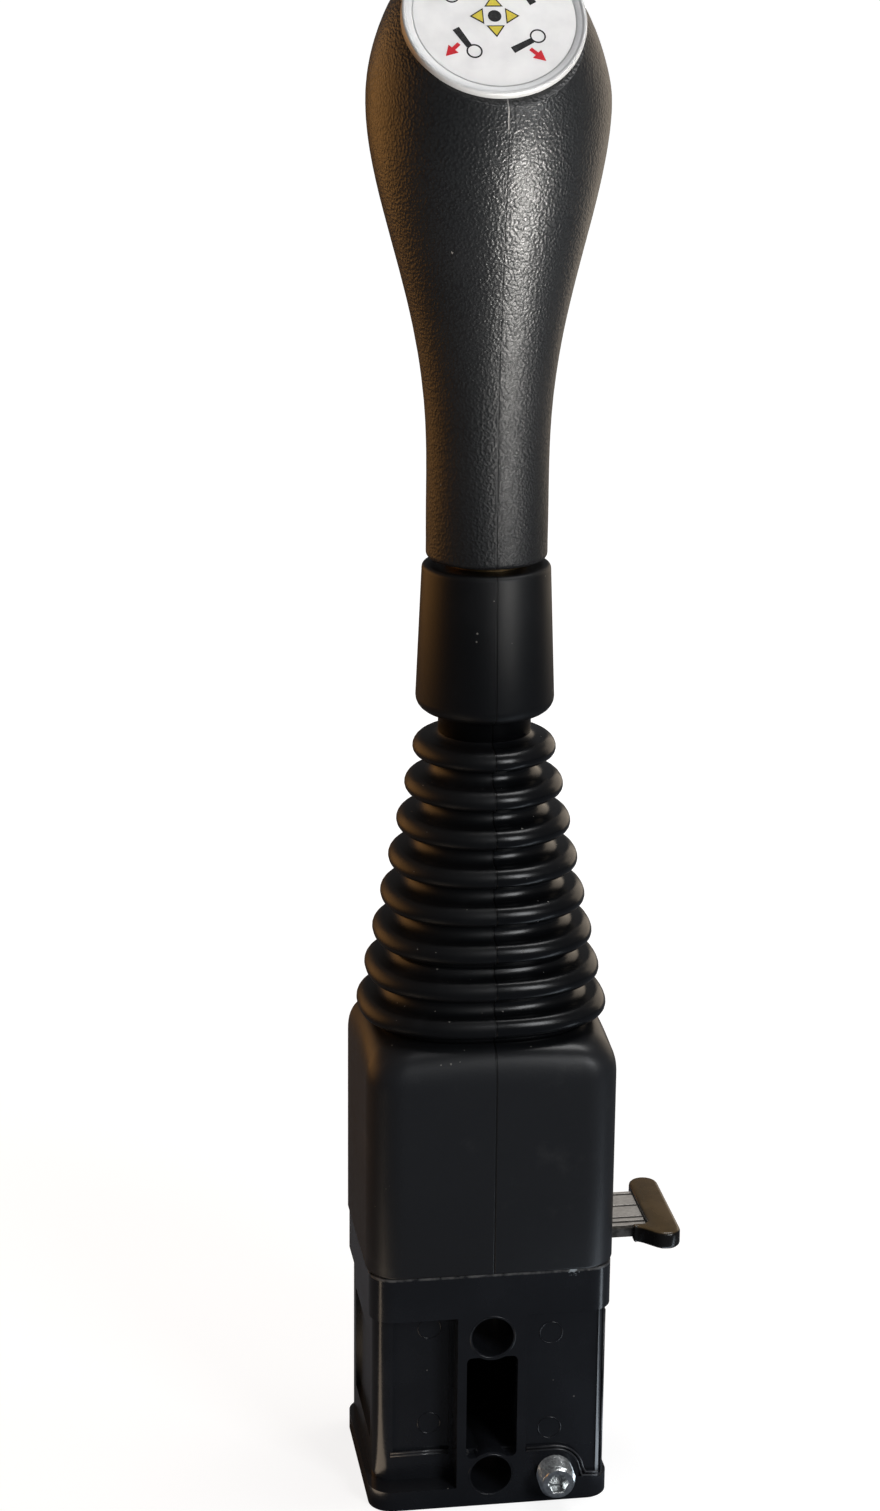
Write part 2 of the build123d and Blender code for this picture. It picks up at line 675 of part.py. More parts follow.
def build_parts():
    """Every piece of the joystick, by the name of its file."""
    return {
        "housing": housing(),
        "cable_screw_front": cable_screw(*inlets[0]),
        "cable_screw_rear": cable_screw(*inlets[1]),
        "pivot_pin_left": pivot_pin(-1),
        "pivot_pin_right": pivot_pin(1),
        "slide_guide": slide_guide(),
        "guide_screw_front": guide_screw(-1),
        "guide_screw_rear": guide_screw(1),
        "gaiter_skirt": gaiter_skirt(),
        "gaiter_bellows": gaiter_bellows(),
        "gimbal_ring": gimbal_ring(),
        "roll_pin_front": roll_pin(-1),
        "roll_pin_rear": roll_pin(1),
        "ball_stud_pitch": pitch_ball_stud(),
        "lever_hub": lever_hub(),
        "ball_stud_roll": roll_ball_stud(),
        "lock_pin": lock_pin(),
        "lever_rod": lever_rod(),
        "lock_nut": lock_nut(),
        "handle_insert": handle_insert(),
        "handle_grip": handle_grip(),
        "plate_bezel": plate_bezel(),
        "function_plate": function_plate(),
        "gaiter_sleeve": gaiter_sleeve(),
        "lock_strip": lock_strip(),
        "lock_handle": lock_handle(),
    }


os.makedirs("parts", exist_ok=True)
for name, piece in build_parts().items():
    export_step(piece, f"parts/{name}.step")
    box = piece.bounding_box()
    print(f"{name:20s} {piece.volume:10.1f} mm3  x {box.min.X:7.2f}..{box.max.X:7.2f}"
          f"  y {box.min.Y:7.2f}..{box.max.Y:7.2f}  z {box.min.Z:7.2f}..{box.max.Z:7.2f}")
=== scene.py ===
# %% [markdown]
# # A two-axis joystick for a remote hydraulic valve
# The construction of this joystick is already settled: a square housing for two control cables,
# a gimbal, a steel lever with a moulded handle, and a rubber gaiter between them. This lesson
# gives it its looks. We load the solids as a fixed frame, keep the ones whose shape is right and
# only paint those, and model the soft and the finely detailed pieces again as meshes.

# %% Load the frame
import bmesh
import bpy
import math
from mathutils import Matrix, Vector


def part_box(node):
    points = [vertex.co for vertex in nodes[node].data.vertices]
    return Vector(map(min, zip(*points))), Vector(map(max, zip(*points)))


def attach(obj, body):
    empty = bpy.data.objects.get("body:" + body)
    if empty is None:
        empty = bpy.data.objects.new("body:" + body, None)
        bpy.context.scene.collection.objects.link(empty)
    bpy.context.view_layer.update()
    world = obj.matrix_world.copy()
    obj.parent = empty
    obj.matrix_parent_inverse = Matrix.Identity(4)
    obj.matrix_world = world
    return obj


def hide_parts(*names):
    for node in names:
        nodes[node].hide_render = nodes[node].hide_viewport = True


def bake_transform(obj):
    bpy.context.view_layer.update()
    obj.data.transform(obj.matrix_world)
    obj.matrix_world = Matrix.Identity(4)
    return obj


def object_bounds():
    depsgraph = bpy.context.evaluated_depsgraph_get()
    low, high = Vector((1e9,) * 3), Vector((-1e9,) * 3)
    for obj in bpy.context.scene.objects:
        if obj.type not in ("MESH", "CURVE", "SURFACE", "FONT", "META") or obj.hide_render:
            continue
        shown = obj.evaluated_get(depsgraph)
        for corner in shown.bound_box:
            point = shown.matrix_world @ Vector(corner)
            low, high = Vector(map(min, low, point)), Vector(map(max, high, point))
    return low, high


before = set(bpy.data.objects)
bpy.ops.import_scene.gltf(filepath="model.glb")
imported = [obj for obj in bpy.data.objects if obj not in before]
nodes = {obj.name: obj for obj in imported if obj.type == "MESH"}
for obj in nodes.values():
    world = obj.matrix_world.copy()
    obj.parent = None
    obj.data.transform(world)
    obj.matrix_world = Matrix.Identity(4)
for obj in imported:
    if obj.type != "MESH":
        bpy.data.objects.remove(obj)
solid_low, solid_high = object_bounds()
mm = 0.001
print("solids:", len(nodes), "box in mm:", [round(v / mm, 1) for v in (*solid_low, *solid_high)])

# %% [markdown]
# ## The camera
# A product picture is easiest to read through a long lens, which keeps the upright edges nearly
# parallel. The camera stands a little to the left of the joystick, looks down at it by about
# eighteen degrees, and is tipped over by half a degree.

# %% Set up the camera
camera_place = Vector((-108.64, -637.23, 369.33)) * mm
camera_turn = math.radians(8.87)
camera_drop = math.radians(17.69)
camera_tip = math.radians(0.50)

lens = bpy.data.cameras.new("product_lens")
lens.sensor_width = 36.0
lens.lens = 78.08
lens.clip_start = 0.01
camera = bpy.data.objects.new("product_camera", lens)
aim = (Matrix.Rotation(-camera_turn, 4, "Z")
       @ Matrix.Rotation(math.pi / 2 - camera_drop, 4, "X")
       @ Matrix.Rotation(camera_tip, 4, "Z"))
camera.matrix_world = Matrix.Translation(camera_place) @ aim
bpy.context.scene.collection.objects.link(camera)
bpy.context.scene.camera = camera
bpy.context.scene.view_settings.view_transform = "Standard"
print("camera at", [round(v, 3) for v in camera.matrix_world.translation])

# %% [markdown]
# ## Writing node trees as sums
# Shaders and Geometry Nodes are both built from nodes, and long chains of Math nodes are hard to
# read. A small class wraps an output socket, so that Python's own operators add the nodes for us:
# `height = 1 - mask * 0.5` then makes two Math nodes. One method makes every other node, first
# with its settings and then with its sockets.


# %% A socket that can be calculated with
class Field:
    """A node's output that Python's operators work on."""

    def __init__(self, bench, socket):
        self.bench = bench
        self.socket = socket

    def maths(self, operation, *values):
        return self.bench.node("ShaderNodeMath", {"operation": operation}, dict(enumerate(values)))

    def __add__(self, other):
        return self.maths("ADD", self, other)

    def __radd__(self, other):
        return self.maths("ADD", other, self)

    def __sub__(self, other):
        return self.maths("SUBTRACT", self, other)

    def __rsub__(self, other):
        return self.maths("SUBTRACT", other, self)

    def __mul__(self, other):
        return self.maths("MULTIPLY", self, other)

    def __truediv__(self, other):
        return self.maths("DIVIDE", self, other)

    def __rtruediv__(self, other):
        return self.maths("DIVIDE", other, self)

    def __pow__(self, other):
        return self.maths("POWER", self, other)

    def __abs__(self):
        return self.maths("ABSOLUTE", self)

    def __lt__(self, other):
        return self.maths("LESS_THAN", self, other)

    def __gt__(self, other):
        return self.maths("GREATER_THAN", self, other)

    def sine(self):
        return self.maths("SINE", self)

    def cosine(self):
        return self.maths("COSINE", self)

    def whole(self):
        return self.maths("FLOOR", self)


# %% A bench that makes the nodes
class Bench:
    """Makes the nodes of one tree."""

    def __init__(self, tree):
        self.tree = tree

    def node(self, kind, settings=None, inputs=None, out=0):
        made = self.tree.nodes.new(kind)
        for name, value in (settings or {}).items():
            setattr(made, name, value)
        for name, value in (inputs or {}).items():
            if isinstance(value, Field):
                self.tree.links.new(value.socket, made.inputs[name])
            else:
                made.inputs[name].default_value = value
        return Field(self, made.outputs[out]) if len(made.outputs) else None

    def other(self, field, out):
        return Field(self, field.socket.node.outputs[out])

    def smooth(self, value, low, high):
        """0 below low and 1 above high, with a soft step between them."""
        return self.node("ShaderNodeMapRange", {"interpolation_type": "SMOOTHSTEP"},
                         {"Value": value, "From Min": low, "From Max": high})

    def axes(self, vector):
        """The three parts of a vector: across, along and up."""
        parts = self.node("ShaderNodeSeparateXYZ", inputs={0: vector})
        return parts, self.other(parts, 1), self.other(parts, 2)

    def noise(self, place, size, detail=2.0, spread=0.5):
        """Soft random cloud, with blotches of about the given size."""
        return self.node("ShaderNodeTexNoise", inputs={
            "Vector": place, "Scale": 1.0 / size, "Detail": detail, "Roughness": spread})

    def cells(self, place, size, feature="F1"):
        """The distance to the middle of random cells of about the given size."""
        return self.node("ShaderNodeTexVoronoi", {"feature": feature},
                         {"Vector": place, "Scale": 1.0 / size}, "Distance")

    def specks(self, place, spacing, size, share):
        """Small round dots: one in each cell, kept in a share of the cells."""
        distance = self.cells(place, spacing)
        chance = self.node("ShaderNodeSeparateColor", inputs={0: self.other(distance, "Color")})
        reach = 0.5 * size / spacing
        return (distance < chance * reach) * (self.other(chance, 1) < share)

    def shade(self, share, first, second):
        """A colour that goes from the first to the second."""
        sockets = {0: share}
        for index, colour in ((6, first), (7, second)):
            sockets[index] = colour if isinstance(colour, Field) else (*colour, 1.0)
        return self.node("ShaderNodeMix", {"data_type": "RGBA"}, sockets, 2)

    def relief(self, height, depth):
        """A normal that shows a height of 0 to 1 as a relief of the given depth."""
        return self.node("ShaderNodeBump", inputs={
            "Height": height, "Distance": depth, "Strength": 1.0})


print("node bench ready")

# %% [markdown]
# ## Room and light
# The floor is plain and pale. The camera sees it almost white, as in a catalogue picture, while
# the glossy black plastic mirrors a quieter grey, because a mirrored white floor would turn the
# black housing grey. Light Path tells the material which kind of ray is asking. Lamps are soft
# rectangles, because small hard ones leave sharp white dots on gloss. A wide one stands in front
# on the right like a window, and one hangs high above. A small one with a narrow beam lights only
# the handle. Two warm boards behind, at the sides, give the black flanks the brown rims that a
# wooden wall would give them, and two weak strips on the floor draw the housing's upright edges.


# %% Lay the floor
def keep_mesh(name, mesh):
    """Put a mesh into the scene as an object at the origin."""
    made = bpy.data.objects.new(name, mesh)
    bpy.context.scene.collection.objects.link(made)
    return made


def new_mesh_object(name, points, faces):
    mesh = bpy.data.meshes.new(name)
    mesh.from_pydata([tuple(point) for point in points], [], faces)
    mesh.update()
    return keep_mesh(name, mesh)


floor_reach = 6.0
floor_near, floor_far = 0.12, 0.55
corners = [(-floor_reach, -floor_reach, 0), (floor_reach, -floor_reach, 0),
           (floor_reach, floor_reach, 0), (-floor_reach, floor_reach, 0)]
floor = new_mesh_object("studio_floor", corners, [(0, 1, 2, 3)])


def floor_finish():
    material = bpy.data.materials.new("pale floor")
    material.use_nodes = True
    material.node_tree.nodes.clear()
    bench = Bench(material.node_tree)
    seen = bench.node("ShaderNodeLightPath", out="Is Camera Ray")
    place = bench.node("ShaderNodeTexCoord", out="Object")
    away = bench.node("ShaderNodeVectorMath", {"operation": "LENGTH"}, {0: place}, "Value")
    far = bench.smooth(away, floor_near, floor_far)
    plain = bench.node("ShaderNodeBsdfDiffuse", inputs={"Color": (0.13, 0.145, 0.17, 1.0)})
    pale = bench.node("ShaderNodeBsdfDiffuse", inputs={"Color": (0.30, 0.30, 0.30, 1.0)})
    # The floor glows less near the joystick: painted shade around its foot, so that its shadow
    # shows there.
    glow_with_painted_shade = bench.shade(far, (0.84, 0.84, 0.84), (1.0, 1.0, 1.0))
    glow = bench.node("ShaderNodeEmission", inputs={"Color": glow_with_painted_shade, "Strength": 1.0})
    white = bench.node("ShaderNodeAddShader", inputs={0: pale, 1: glow})
    mixed = bench.node("ShaderNodeMixShader", inputs={0: seen, 1: plain, 2: white})
    bench.node("ShaderNodeOutputMaterial", inputs={"Surface": mixed})
    return material


floor.data.materials.append(floor_finish())
print("floor reaches", floor_reach, "m each way")

# %% Hang the lamps
world = bpy.data.worlds.new("studio")
bpy.context.scene.world = world
world.use_nodes = True
world.node_tree.nodes.clear()


def world_finish(level):
    """A dim even room for the lights, and white for the camera."""
    bench = Bench(world.node_tree)
    seen = bench.node("ShaderNodeLightPath", out="Is Camera Ray")
    colour = bench.shade(seen, (level, level, level * 1.03), (1.0, 1.0, 1.0))
    room = bench.node("ShaderNodeBackground", inputs={"Color": colour, "Strength": 1.0})
    bench.node("ShaderNodeOutputWorld", inputs={"Surface": room})


room_level = 0.10
world_finish(room_level)
look_at = Vector((0.0, 0.0, 0.5 * (solid_low.z + solid_high.z)))


def hang_lamp(name, place, size, power, colour=(1.0, 1.0, 1.0), at=None, spread=180.0):
    """A soft rectangular lamp that faces the joystick or a point of it; all lengths in metres."""
    lamp = bpy.data.lights.new(name, "AREA")
    lamp.shape = "RECTANGLE"
    lamp.size = size[0]
    lamp.size_y = size[1]
    lamp.energy = power
    lamp.color = colour
    lamp.spread = math.radians(spread)
    made = bpy.data.objects.new(name, lamp)
    made.location = place
    facing = (at or look_at) - Vector(place)
    made.rotation_euler = facing.to_track_quat("-Z", "Y").to_euler()
    made.visible_camera = False
    bpy.context.scene.collection.objects.link(made)
    return made


hang_lamp("window_lamp", (0.46, -0.80, 0.50), (0.30, 0.40), 4.2, (0.96, 0.98, 1.0))
hang_lamp("handle_lamp", (0.100, -0.180, 0.165), (0.05, 0.05), 0.10, (1.0, 0.97, 0.92),
          at=Vector((0.006, -0.030, 0.300)), spread=58.0)
hang_lamp("top_lamp", (0.24, 0.02, 1.00), (0.36, 0.44), 3.5)
hang_lamp("warm_board_left", (-0.56, 0.36, 0.24), (0.74, 0.44), 1.7, (1.0, 0.47, 0.13))
hang_lamp("warm_board_right", (0.50, 0.46, 0.24), (0.50, 0.44), 0.75, (1.0, 0.84, 0.66))
left_strip = hang_lamp("left_floor_strip", (-0.105, -0.055, 0.002), (0.17, 0.016), 0.022,
                       (1.0, 0.80, 0.60))
right_strip = hang_lamp("right_floor_strip", (0.110, -0.053, 0.002), (0.17, 0.016), 0.036,
                        (0.80, 0.90, 1.0))
for strip, turn in ((left_strip, 25.0), (right_strip, -22.0)):
    strip.rotation_euler = (math.pi, 0.0, math.radians(turn))

# %% [markdown]
# ## Finishes
# Each finish is one function. It reads the piece's own coordinates, in metres, so a grain of
# half a millimetre is a pattern of that size, and it ends in one Principled shader. Only colour,
# roughness and relief change over a surface. All other numbers are set on the shader itself.


# %% Start and end a finish
def open_finish(name):
    material = bpy.data.materials.new(name)
    material.use_nodes = True
    material.node_tree.nodes.clear()
    bench = Bench(material.node_tree)
    place = bench.node("ShaderNodeTexCoord", out="Object")
    return material, bench, place


def close_finish(bench, **sockets):
    names = {name.replace("_", " "): value for name, value in sockets.items()}
    skin = bench.node("ShaderNodeBsdfPrincipled", inputs=names)
    bench.node("ShaderNodeOutputMaterial", inputs={"Surface": skin})


def dress(finish, *node_names):
    """Give solids of the frame a finish, in place of their plain one."""
    for name in node_names:
        for index in range(max(1, len(nodes[name].material_slots))):
            if index < len(nodes[name].data.materials):
                nodes[name].data.materials[index] = finish
            else:
                nodes[name].data.materials.append(finish)


# %% [markdown]
# ### The handle's grained plastic
# The mould of such a handle is etched, so that the plastic comes out with a fine leather grain.
# Voronoi cells give the pebbles, a little noise makes them uneven, and the two halves of the
# mould leave a thin parting line in the middle plane. The line follows the head, which leans
# slightly to the left, and just below the plate it gets a painted highlight, a pale colour in
# place of the light it catches there. Palms have polished the head, so it shines more than the
# neck.


# %% Grained plastic
swell_low = 222.0 * mm
head_widest = 297.2 * mm
head_lean = 0.9 * mm
crown_lean = 1.7 * mm
polish_low, polish_high = 232.0 * mm, 276.0 * mm
pebble_size = 0.54 * mm
grain_depth = 0.085 * mm


def grained_plastic():
    material, bench, place = open_finish("grained handle plastic")
    across, _, up = bench.axes(place)
    drift = bench.noise(place, 2.2 * mm, detail=1.0)
    pebbles = bench.smooth(bench.cells(place, pebble_size, "SMOOTH_F1"), 0.15, 0.75)
    fine = bench.noise(place, 0.26 * mm, detail=2.0)
    grain = pebbles * (0.5 + drift * 0.8) + fine * 0.6
    swell = bench.smooth(up, swell_low, head_widest) * head_lean
    crown = bench.node("ShaderNodeMapRange", inputs={
        "Value": up, "From Min": head_widest, "From Max": solid_high.z, "To Max": crown_lean})
    seam = 1 - bench.smooth(abs(across + swell + crown), 0.08 * mm, 0.22 * mm)
    # Painted highlight: the seam is coloured pale just below the plate, where it catches the
    # light.
    seam_highlight = seam * bench.smooth(up, head_widest - 4.5 * mm, head_widest - 1.5 * mm)
    height = grain * 0.8 - seam * 0.9
    cloud = bench.noise(place, 14 * mm, detail=2.0)
    colour = bench.shade(bench.smooth(grain, 0.3, 1.2), (0.0125, 0.0135, 0.0145),
                         (0.0065, 0.0070, 0.0080))
    worn = bench.shade(bench.smooth(cloud, 0.35, 0.8) * 0.35, colour, (0.016, 0.016, 0.017))
    with_seam_highlight = bench.shade(seam_highlight * 0.7, worn, (0.30, 0.29, 0.28))
    dusty = bench.shade(bench.specks(place, 3.4 * mm, 0.5 * mm, 0.18), with_seam_highlight, (0.16, 0.15, 0.14))
    palm = bench.smooth(up, polish_low, polish_high)
    close_finish(bench, Base_Color=dusty, Roughness=0.42 - palm * 0.13 + grain * 0.08, IOR=1.45,
                 Normal=bench.relief(height, grain_depth))
    return material


grained = grained_plastic()
dress(grained, "handle_grip")
print("finish:", grained.name)

# %% [markdown]
# ### The gaiter's rubber
# Moulded rubber is smooth and only half glossy. It shows a faint cloudiness, a parting line in
# the middle plane, and above all it collects dust: small pale specks, more of them on faces that
# look up. The surface normal's upward part tells the shader where dust would lie. The skirt low
# down has a lighter colour and is scuffed, and the cuff is duller than the folds. The folds are a
# little rougher on their left side, which hides the lamps' reflections there.


# %% Gaiter rubber
skirt_from, skirt_to = 100.0 * mm, 108.0 * mm
cuff_from, cuff_to = 169.0 * mm, 172.0 * mm


def gaiter_rubber():
    material, bench, place = open_finish("gaiter rubber")
    across, _, up = bench.axes(place)
    cloud = bench.noise(place, 9 * mm, detail=3.0, spread=0.6)
    fine = bench.noise(place, 0.45 * mm, detail=2.0)
    seam = 1 - bench.smooth(abs(across), 0.10 * mm, 0.26 * mm)
    facing = bench.node("ShaderNodeNewGeometry", out="Normal")
    lying = bench.axes(facing)[2]
    low = 1 - bench.smooth(up, skirt_from, skirt_to)
    film = bench.smooth(cloud, 0.45, 0.85) * (0.2 + bench.smooth(lying, -0.2, 0.9) * 0.5)
    scuff = bench.smooth(bench.noise(place, 15 * mm, detail=5.0, spread=0.65), 0.56, 0.74) * low
    colour = bench.shade(film, (0.0040, 0.0044, 0.0052), (0.0120, 0.0126, 0.0142))
    # Below the folds the skirt is given a lighter colour.
    lighter_low = bench.shade(low, colour, (0.0180, 0.0190, 0.0215))
    scuffed = bench.shade(scuff * 0.6, lighter_low, (0.040, 0.040, 0.041))
    lined = bench.shade(seam * 0.8, scuffed, (0.002, 0.002, 0.002))
    dots = bench.specks(place, 1.9 * mm, 0.44 * mm, 0.14 + bench.smooth(lying, 0.1, 0.9) * 0.36)
    dusty = bench.shade(dots * 0.7, lined, (0.22, 0.21, 0.19))
    high = bench.smooth(up, cuff_from, cuff_to)
    left = (1 - bench.smooth(across, -0.3 * mm, 0.1 * mm)) * (1 - low) * (1 - high)
    rough = 0.21 + left * 0.19 + low * 0.19 + high * 0.20 + cloud * 0.08 + dots * 0.3
    close_finish(bench, Base_Color=dusty, Roughness=rough, IOR=1.38,
                 Normal=bench.relief(fine * 0.14 - seam, 0.10 * mm))
    return material


rubber = gaiter_rubber()
print("finish:", rubber.name)

# %% [markdown]
# ### The housing's black plastic
# The housing is a glass-filled moulding with a fairly high gloss. Real ones are never clean: the
# upper edge of the collar is rubbed pale and chipped in one place, and specks of dust catch the
# light. The edge sits at a known height, so the shader finds it from the place itself.


# %% Housing plastic
front_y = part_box("housing")[0].y
skirt_low, skirt_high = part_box("gaiter_skirt")
collar_top = skirt_low.z
chip_place = (17.0 * mm, front_y, collar_top)


def housing_plastic():
    material, bench, place = open_finish("housing plastic")
    up = bench.axes(place)[2]
    cloud = bench.noise(place, 12 * mm, detail=3.0)
    fine = bench.noise(place, 0.7 * mm, detail=3.0)
    edge = 1 - bench.smooth(abs(up - collar_top), 0.30 * mm, 0.70 * mm)
    rubbed = edge * bench.smooth(bench.noise(place, 2.6 * mm, detail=4.0), 0.34, 0.62)
    gap = bench.node("ShaderNodeVectorMath", {"operation": "DISTANCE"},
                     {0: place, 1: chip_place}, "Value")
    ragged = gap + (bench.noise(place, 1.1 * mm, detail=3.0) - 0.5) * (3.0 * mm)
    chip = 1 - bench.smooth(ragged, 0.7 * mm, 1.3 * mm)
    dots = bench.specks(place, 3.0 * mm, 0.50 * mm, 0.26)
    base = bench.shade(bench.smooth(cloud, 0.3, 0.8), (0.0105, 0.0115, 0.0140),
                       (0.0147, 0.0160, 0.0195))
    worn = bench.shade(rubbed * 0.75, base, (0.17, 0.165, 0.16))
    marked = bench.shade(chip, worn, (0.42, 0.46, 0.48))
    colour = bench.shade(dots * 0.7, marked, (0.18, 0.17, 0.16))
    rough = 0.17 + cloud * 0.10 + rubbed * 0.3 + chip * 0.3
    close_finish(bench, Base_Color=colour, Roughness=rough, IOR=1.50,
                 Normal=bench.relief(fine * 0.25 + cloud * 0.8, 0.04 * mm))
    return material


moulded = housing_plastic()
dress(moulded, "housing")
print("finish:", moulded.name)

# %% [markdown]
# ### Metals and small mouldings
# Zinc plating is a thin crystalline layer, so it is mottled and rather bright. The lock strip's
# zinc is painted dark, as the shade that falls between its raised pads. Turned steel has fine
# rings. The lock's pull is a black glossy moulding whose upper faces are painted brown, as a warm
# reflection, while its flanks are black.


# %% Plated, turned and cast metal
tool_mark = 0.35 * mm


def metal_finish(name, light, dark, rough, mottle, streak=0.0, shine=1.0):
    """Mottled metal; streak is the strength of the rings that a turning tool leaves."""
    material, bench, place = open_finish(name)
    up = bench.axes(place)[2]
    patches = bench.noise(place, mottle, detail=4.0, spread=0.65)
    fine = bench.noise(place, 0.25 * mm, detail=2.0)
    rings = (up * (2 * math.pi / tool_mark)).sine() * streak
    colour = bench.shade(bench.smooth(patches, 0.3, 0.7), dark, light)
    close_finish(bench, Base_Color=colour, Metallic=shine, Roughness=rough + patches * 0.18,
                 Normal=bench.relief(fine * 0.3 + rings, 0.02 * mm))
    return material


def gloss_moulding(name, base, warm, rough, flank=None):
    """A glossy moulding; flank is the colour of the faces that don't look up, which leaves the
    other colours as painted light on the faces that look up.
    """
    material, bench, place = open_finish(name)
    cloud = bench.noise(place, 7 * mm, detail=2.0)
    fine = bench.noise(place, 0.5 * mm, detail=2.0)
    dots = bench.specks(place, 2.6 * mm, 0.4 * mm, 0.15)
    colour = bench.shade(bench.smooth(cloud, 0.3, 0.75), base, warm)
    # On the pull the brown of the faces that look up is a painted warm reflection on black
    # plastic.
    if flank is not None:
        facing = bench.node("ShaderNodeNewGeometry", out="Normal")
        lying = bench.axes(facing)[2]
        colour = bench.shade(bench.smooth(lying, 0.45, 0.90), flank, colour)
    speckled = bench.shade(dots * 0.6, colour, (0.22, 0.20, 0.18))
    close_finish(bench, Base_Color=speckled, Roughness=rough + cloud * 0.06, IOR=1.50,
                 Normal=bench.relief(fine * 0.25, 0.03 * mm))
    return material


zinc = metal_finish("zinc plating", (0.80, 0.78, 0.73), (0.50, 0.48, 0.44), 0.30, 1.6 * mm)
# The lock strip's zinc is painted dark, as shade between and beside its raised pads.
strip_zinc_painted_shade = metal_finish("strip zinc with painted shade", (0.16, 0.15, 0.14), (0.07, 0.066, 0.06), 0.45, 1.2 * mm)
screw_zinc = metal_finish("bright zinc", (0.86, 0.88, 0.88), (0.50, 0.52, 0.52), 0.14, 0.7 * mm)
steel = metal_finish("turned steel", (0.60, 0.60, 0.61), (0.46, 0.46, 0.47), 0.22, 3.0 * mm, 0.4)
casting = metal_finish("cast alloy", (0.56, 0.56, 0.57), (0.38, 0.38, 0.39), 0.42, 1.1 * mm)
# The insert's brass is given a dark colour.
dark_insert_brass = metal_finish("dark insert brass", (0.20, 0.14, 0.07), (0.09, 0.06, 0.03), 0.40,
                     2.0 * mm, 0.3)
pad_zinc = metal_finish("pad zinc", (0.52, 0.49, 0.45), (0.40, 0.37, 0.34), 0.55, 0.8 * mm,
                        shine=0.25)
pull_painted_warm_top = gloss_moulding("black pull with painted warm top", (0.075, 0.048, 0.020), (0.110, 0.070, 0.030),
                               0.24, flank=(0.006, 0.005, 0.004))
guide_moulding = gloss_moulding("guide moulding", (0.012, 0.012, 0.013), (0.018, 0.018, 0.02),
                                0.34)

dress(strip_zinc_painted_shade, "lock_strip")
dress(guide_moulding, "slide_guide")
dress(steel, "pivot_pin_left", "pivot_pin_right", "roll_pin_front", "roll_pin_rear",
      "ball_stud_pitch", "ball_stud_roll", "lock_pin", "lever_rod")
dress(zinc, "guide_screw_front", "guide_screw_rear", "lock_nut")
dress(casting, "gimbal_ring", "lever_hub")
dress(dark_insert_brass, "handle_insert")
print("metals:", [m.name for m in (zinc, strip_zinc_painted_shade, screw_zinc, pad_zinc, steel, casting, dark_insert_brass)])

# %% [markdown]
# ### The function plate and its ring
# The plate is a glossy white disc, held by a satin grey ring. The inks on it are matt, so that
# they stay dark where the disc mirrors a lamp.


# %% Plate white and ring grey
def plate_white():
    material, bench, place = open_finish("plate white")
    cloud = bench.noise(place, 6 * mm, detail=3.0)
    scratch = bench.noise(place, 0.5 * mm, detail=4.0, spread=0.7)
    colour = bench.shade(bench.smooth(cloud, 0.3, 0.8), (0.80, 0.79, 0.78), (0.70, 0.69, 0.685))
    close_finish(bench, Base_Color=colour, Roughness=0.18 + scratch * 0.14, IOR=1.49,
                 Normal=bench.relief(cloud, 0.02 * mm))
    return material


def ring_grey():
    material, bench, place = open_finish("ring grey")
    cloud = bench.noise(place, 2.0 * mm, detail=3.0)
    fine = bench.noise(place, 0.20 * mm, detail=2.0)
    colour = bench.shade(cloud, (0.46, 0.46, 0.46), (0.58, 0.58, 0.58))
    close_finish(bench, Base_Color=colour, Metallic=0.10, Roughness=0.32 + cloud * 0.1, IOR=1.5,
                 Normal=bench.relief(fine, 0.015 * mm))
    return material


def print_ink(name, colour):
    material, bench, place = open_finish(name)
    cloud = bench.noise(place, 0.6 * mm, detail=3.0)
    faded = tuple(0.8 * part + 0.02 for part in colour)
    close_finish(bench, Base_Color=bench.shade(bench.smooth(cloud, 0.4, 0.8), colour, faded),
                 Roughness=0.52 + cloud * 0.1, IOR=1.25, Normal=bench.relief(cloud, 0.01 * mm))
    return material


white = plate_white()
grey = ring_grey()
ink_black = print_ink("black ink", (0.012, 0.011, 0.012))
ink_red = print_ink("red ink", (0.56, 0.012, 0.022))
ink_yellow = print_ink("yellow ink", (0.62, 0.50, 0.05))
dress(white, "function_plate")
print("plate finishes ready")

# %% [markdown]
# ## The gaiter's folds
# The bellows between handle and housing follow one rule: eight equal rings, each a half-round
# crest, a short straight flank and a half-round valley, on ovals that widen downwards. A rule
# like this is a job for Geometry Nodes. A flat grid becomes the wall: its first side turns
# around the lever and its second side runs down the folds. Within one ring a phase goes from -pi
# to pi: its cosine tells crest from valley, and its sine and cosine draw both half-rounds.
#
# The lowest two rings bend between the housing and the gimbal ring, the rings above them between
# the gimbal ring and the lever, so the tree makes them as two pieces from the same inputs. The
# split lies low because the rod leans through the folds when the lever rolls.

# %% Sizes of the folds
folds_low, folds_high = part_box("gaiter_bellows")
ring_count = 8
ring_pitch = 8.0 * mm
crest_radius = 2.15 * mm
fold_depth = 5.0 * mm
top_ring_z = 166.0 * mm
top_ring_radius = 14.8 * mm
low_ring_radius = 0.5 * (folds_high.x - folds_low.x)
low_ring_depth = 0.5 * (folds_high.y - folds_low.y)
round_power = 2.0
square_power = 2.5
fold_wall = 1.1 * mm
columns_around = 220
rows_per_ring = 22
print("lowest ring in mm:", round(2 * low_ring_radius / mm, 1), "by",
      round(2 * low_ring_depth / mm, 1))


# %% Start and end a Geometry Nodes tree
def open_tree(name, kinds):
    """A tree with named inputs: the tree, its bench, and its inputs as fields."""
    tree = bpy.data.node_groups.new(name, "GeometryNodeTree")
    tree.is_modifier = True
    for label, kind in kinds.items():
        tree.interface.new_socket(label, in_out="INPUT", socket_type="NodeSocket" + kind)
    tree.interface.new_socket("Mesh", in_out="OUTPUT", socket_type="NodeSocketGeometry")
    bench = Bench(tree)
    start = bench.node("NodeGroupInput")
    return tree, bench, {label: bench.other(start, label) for label in kinds}


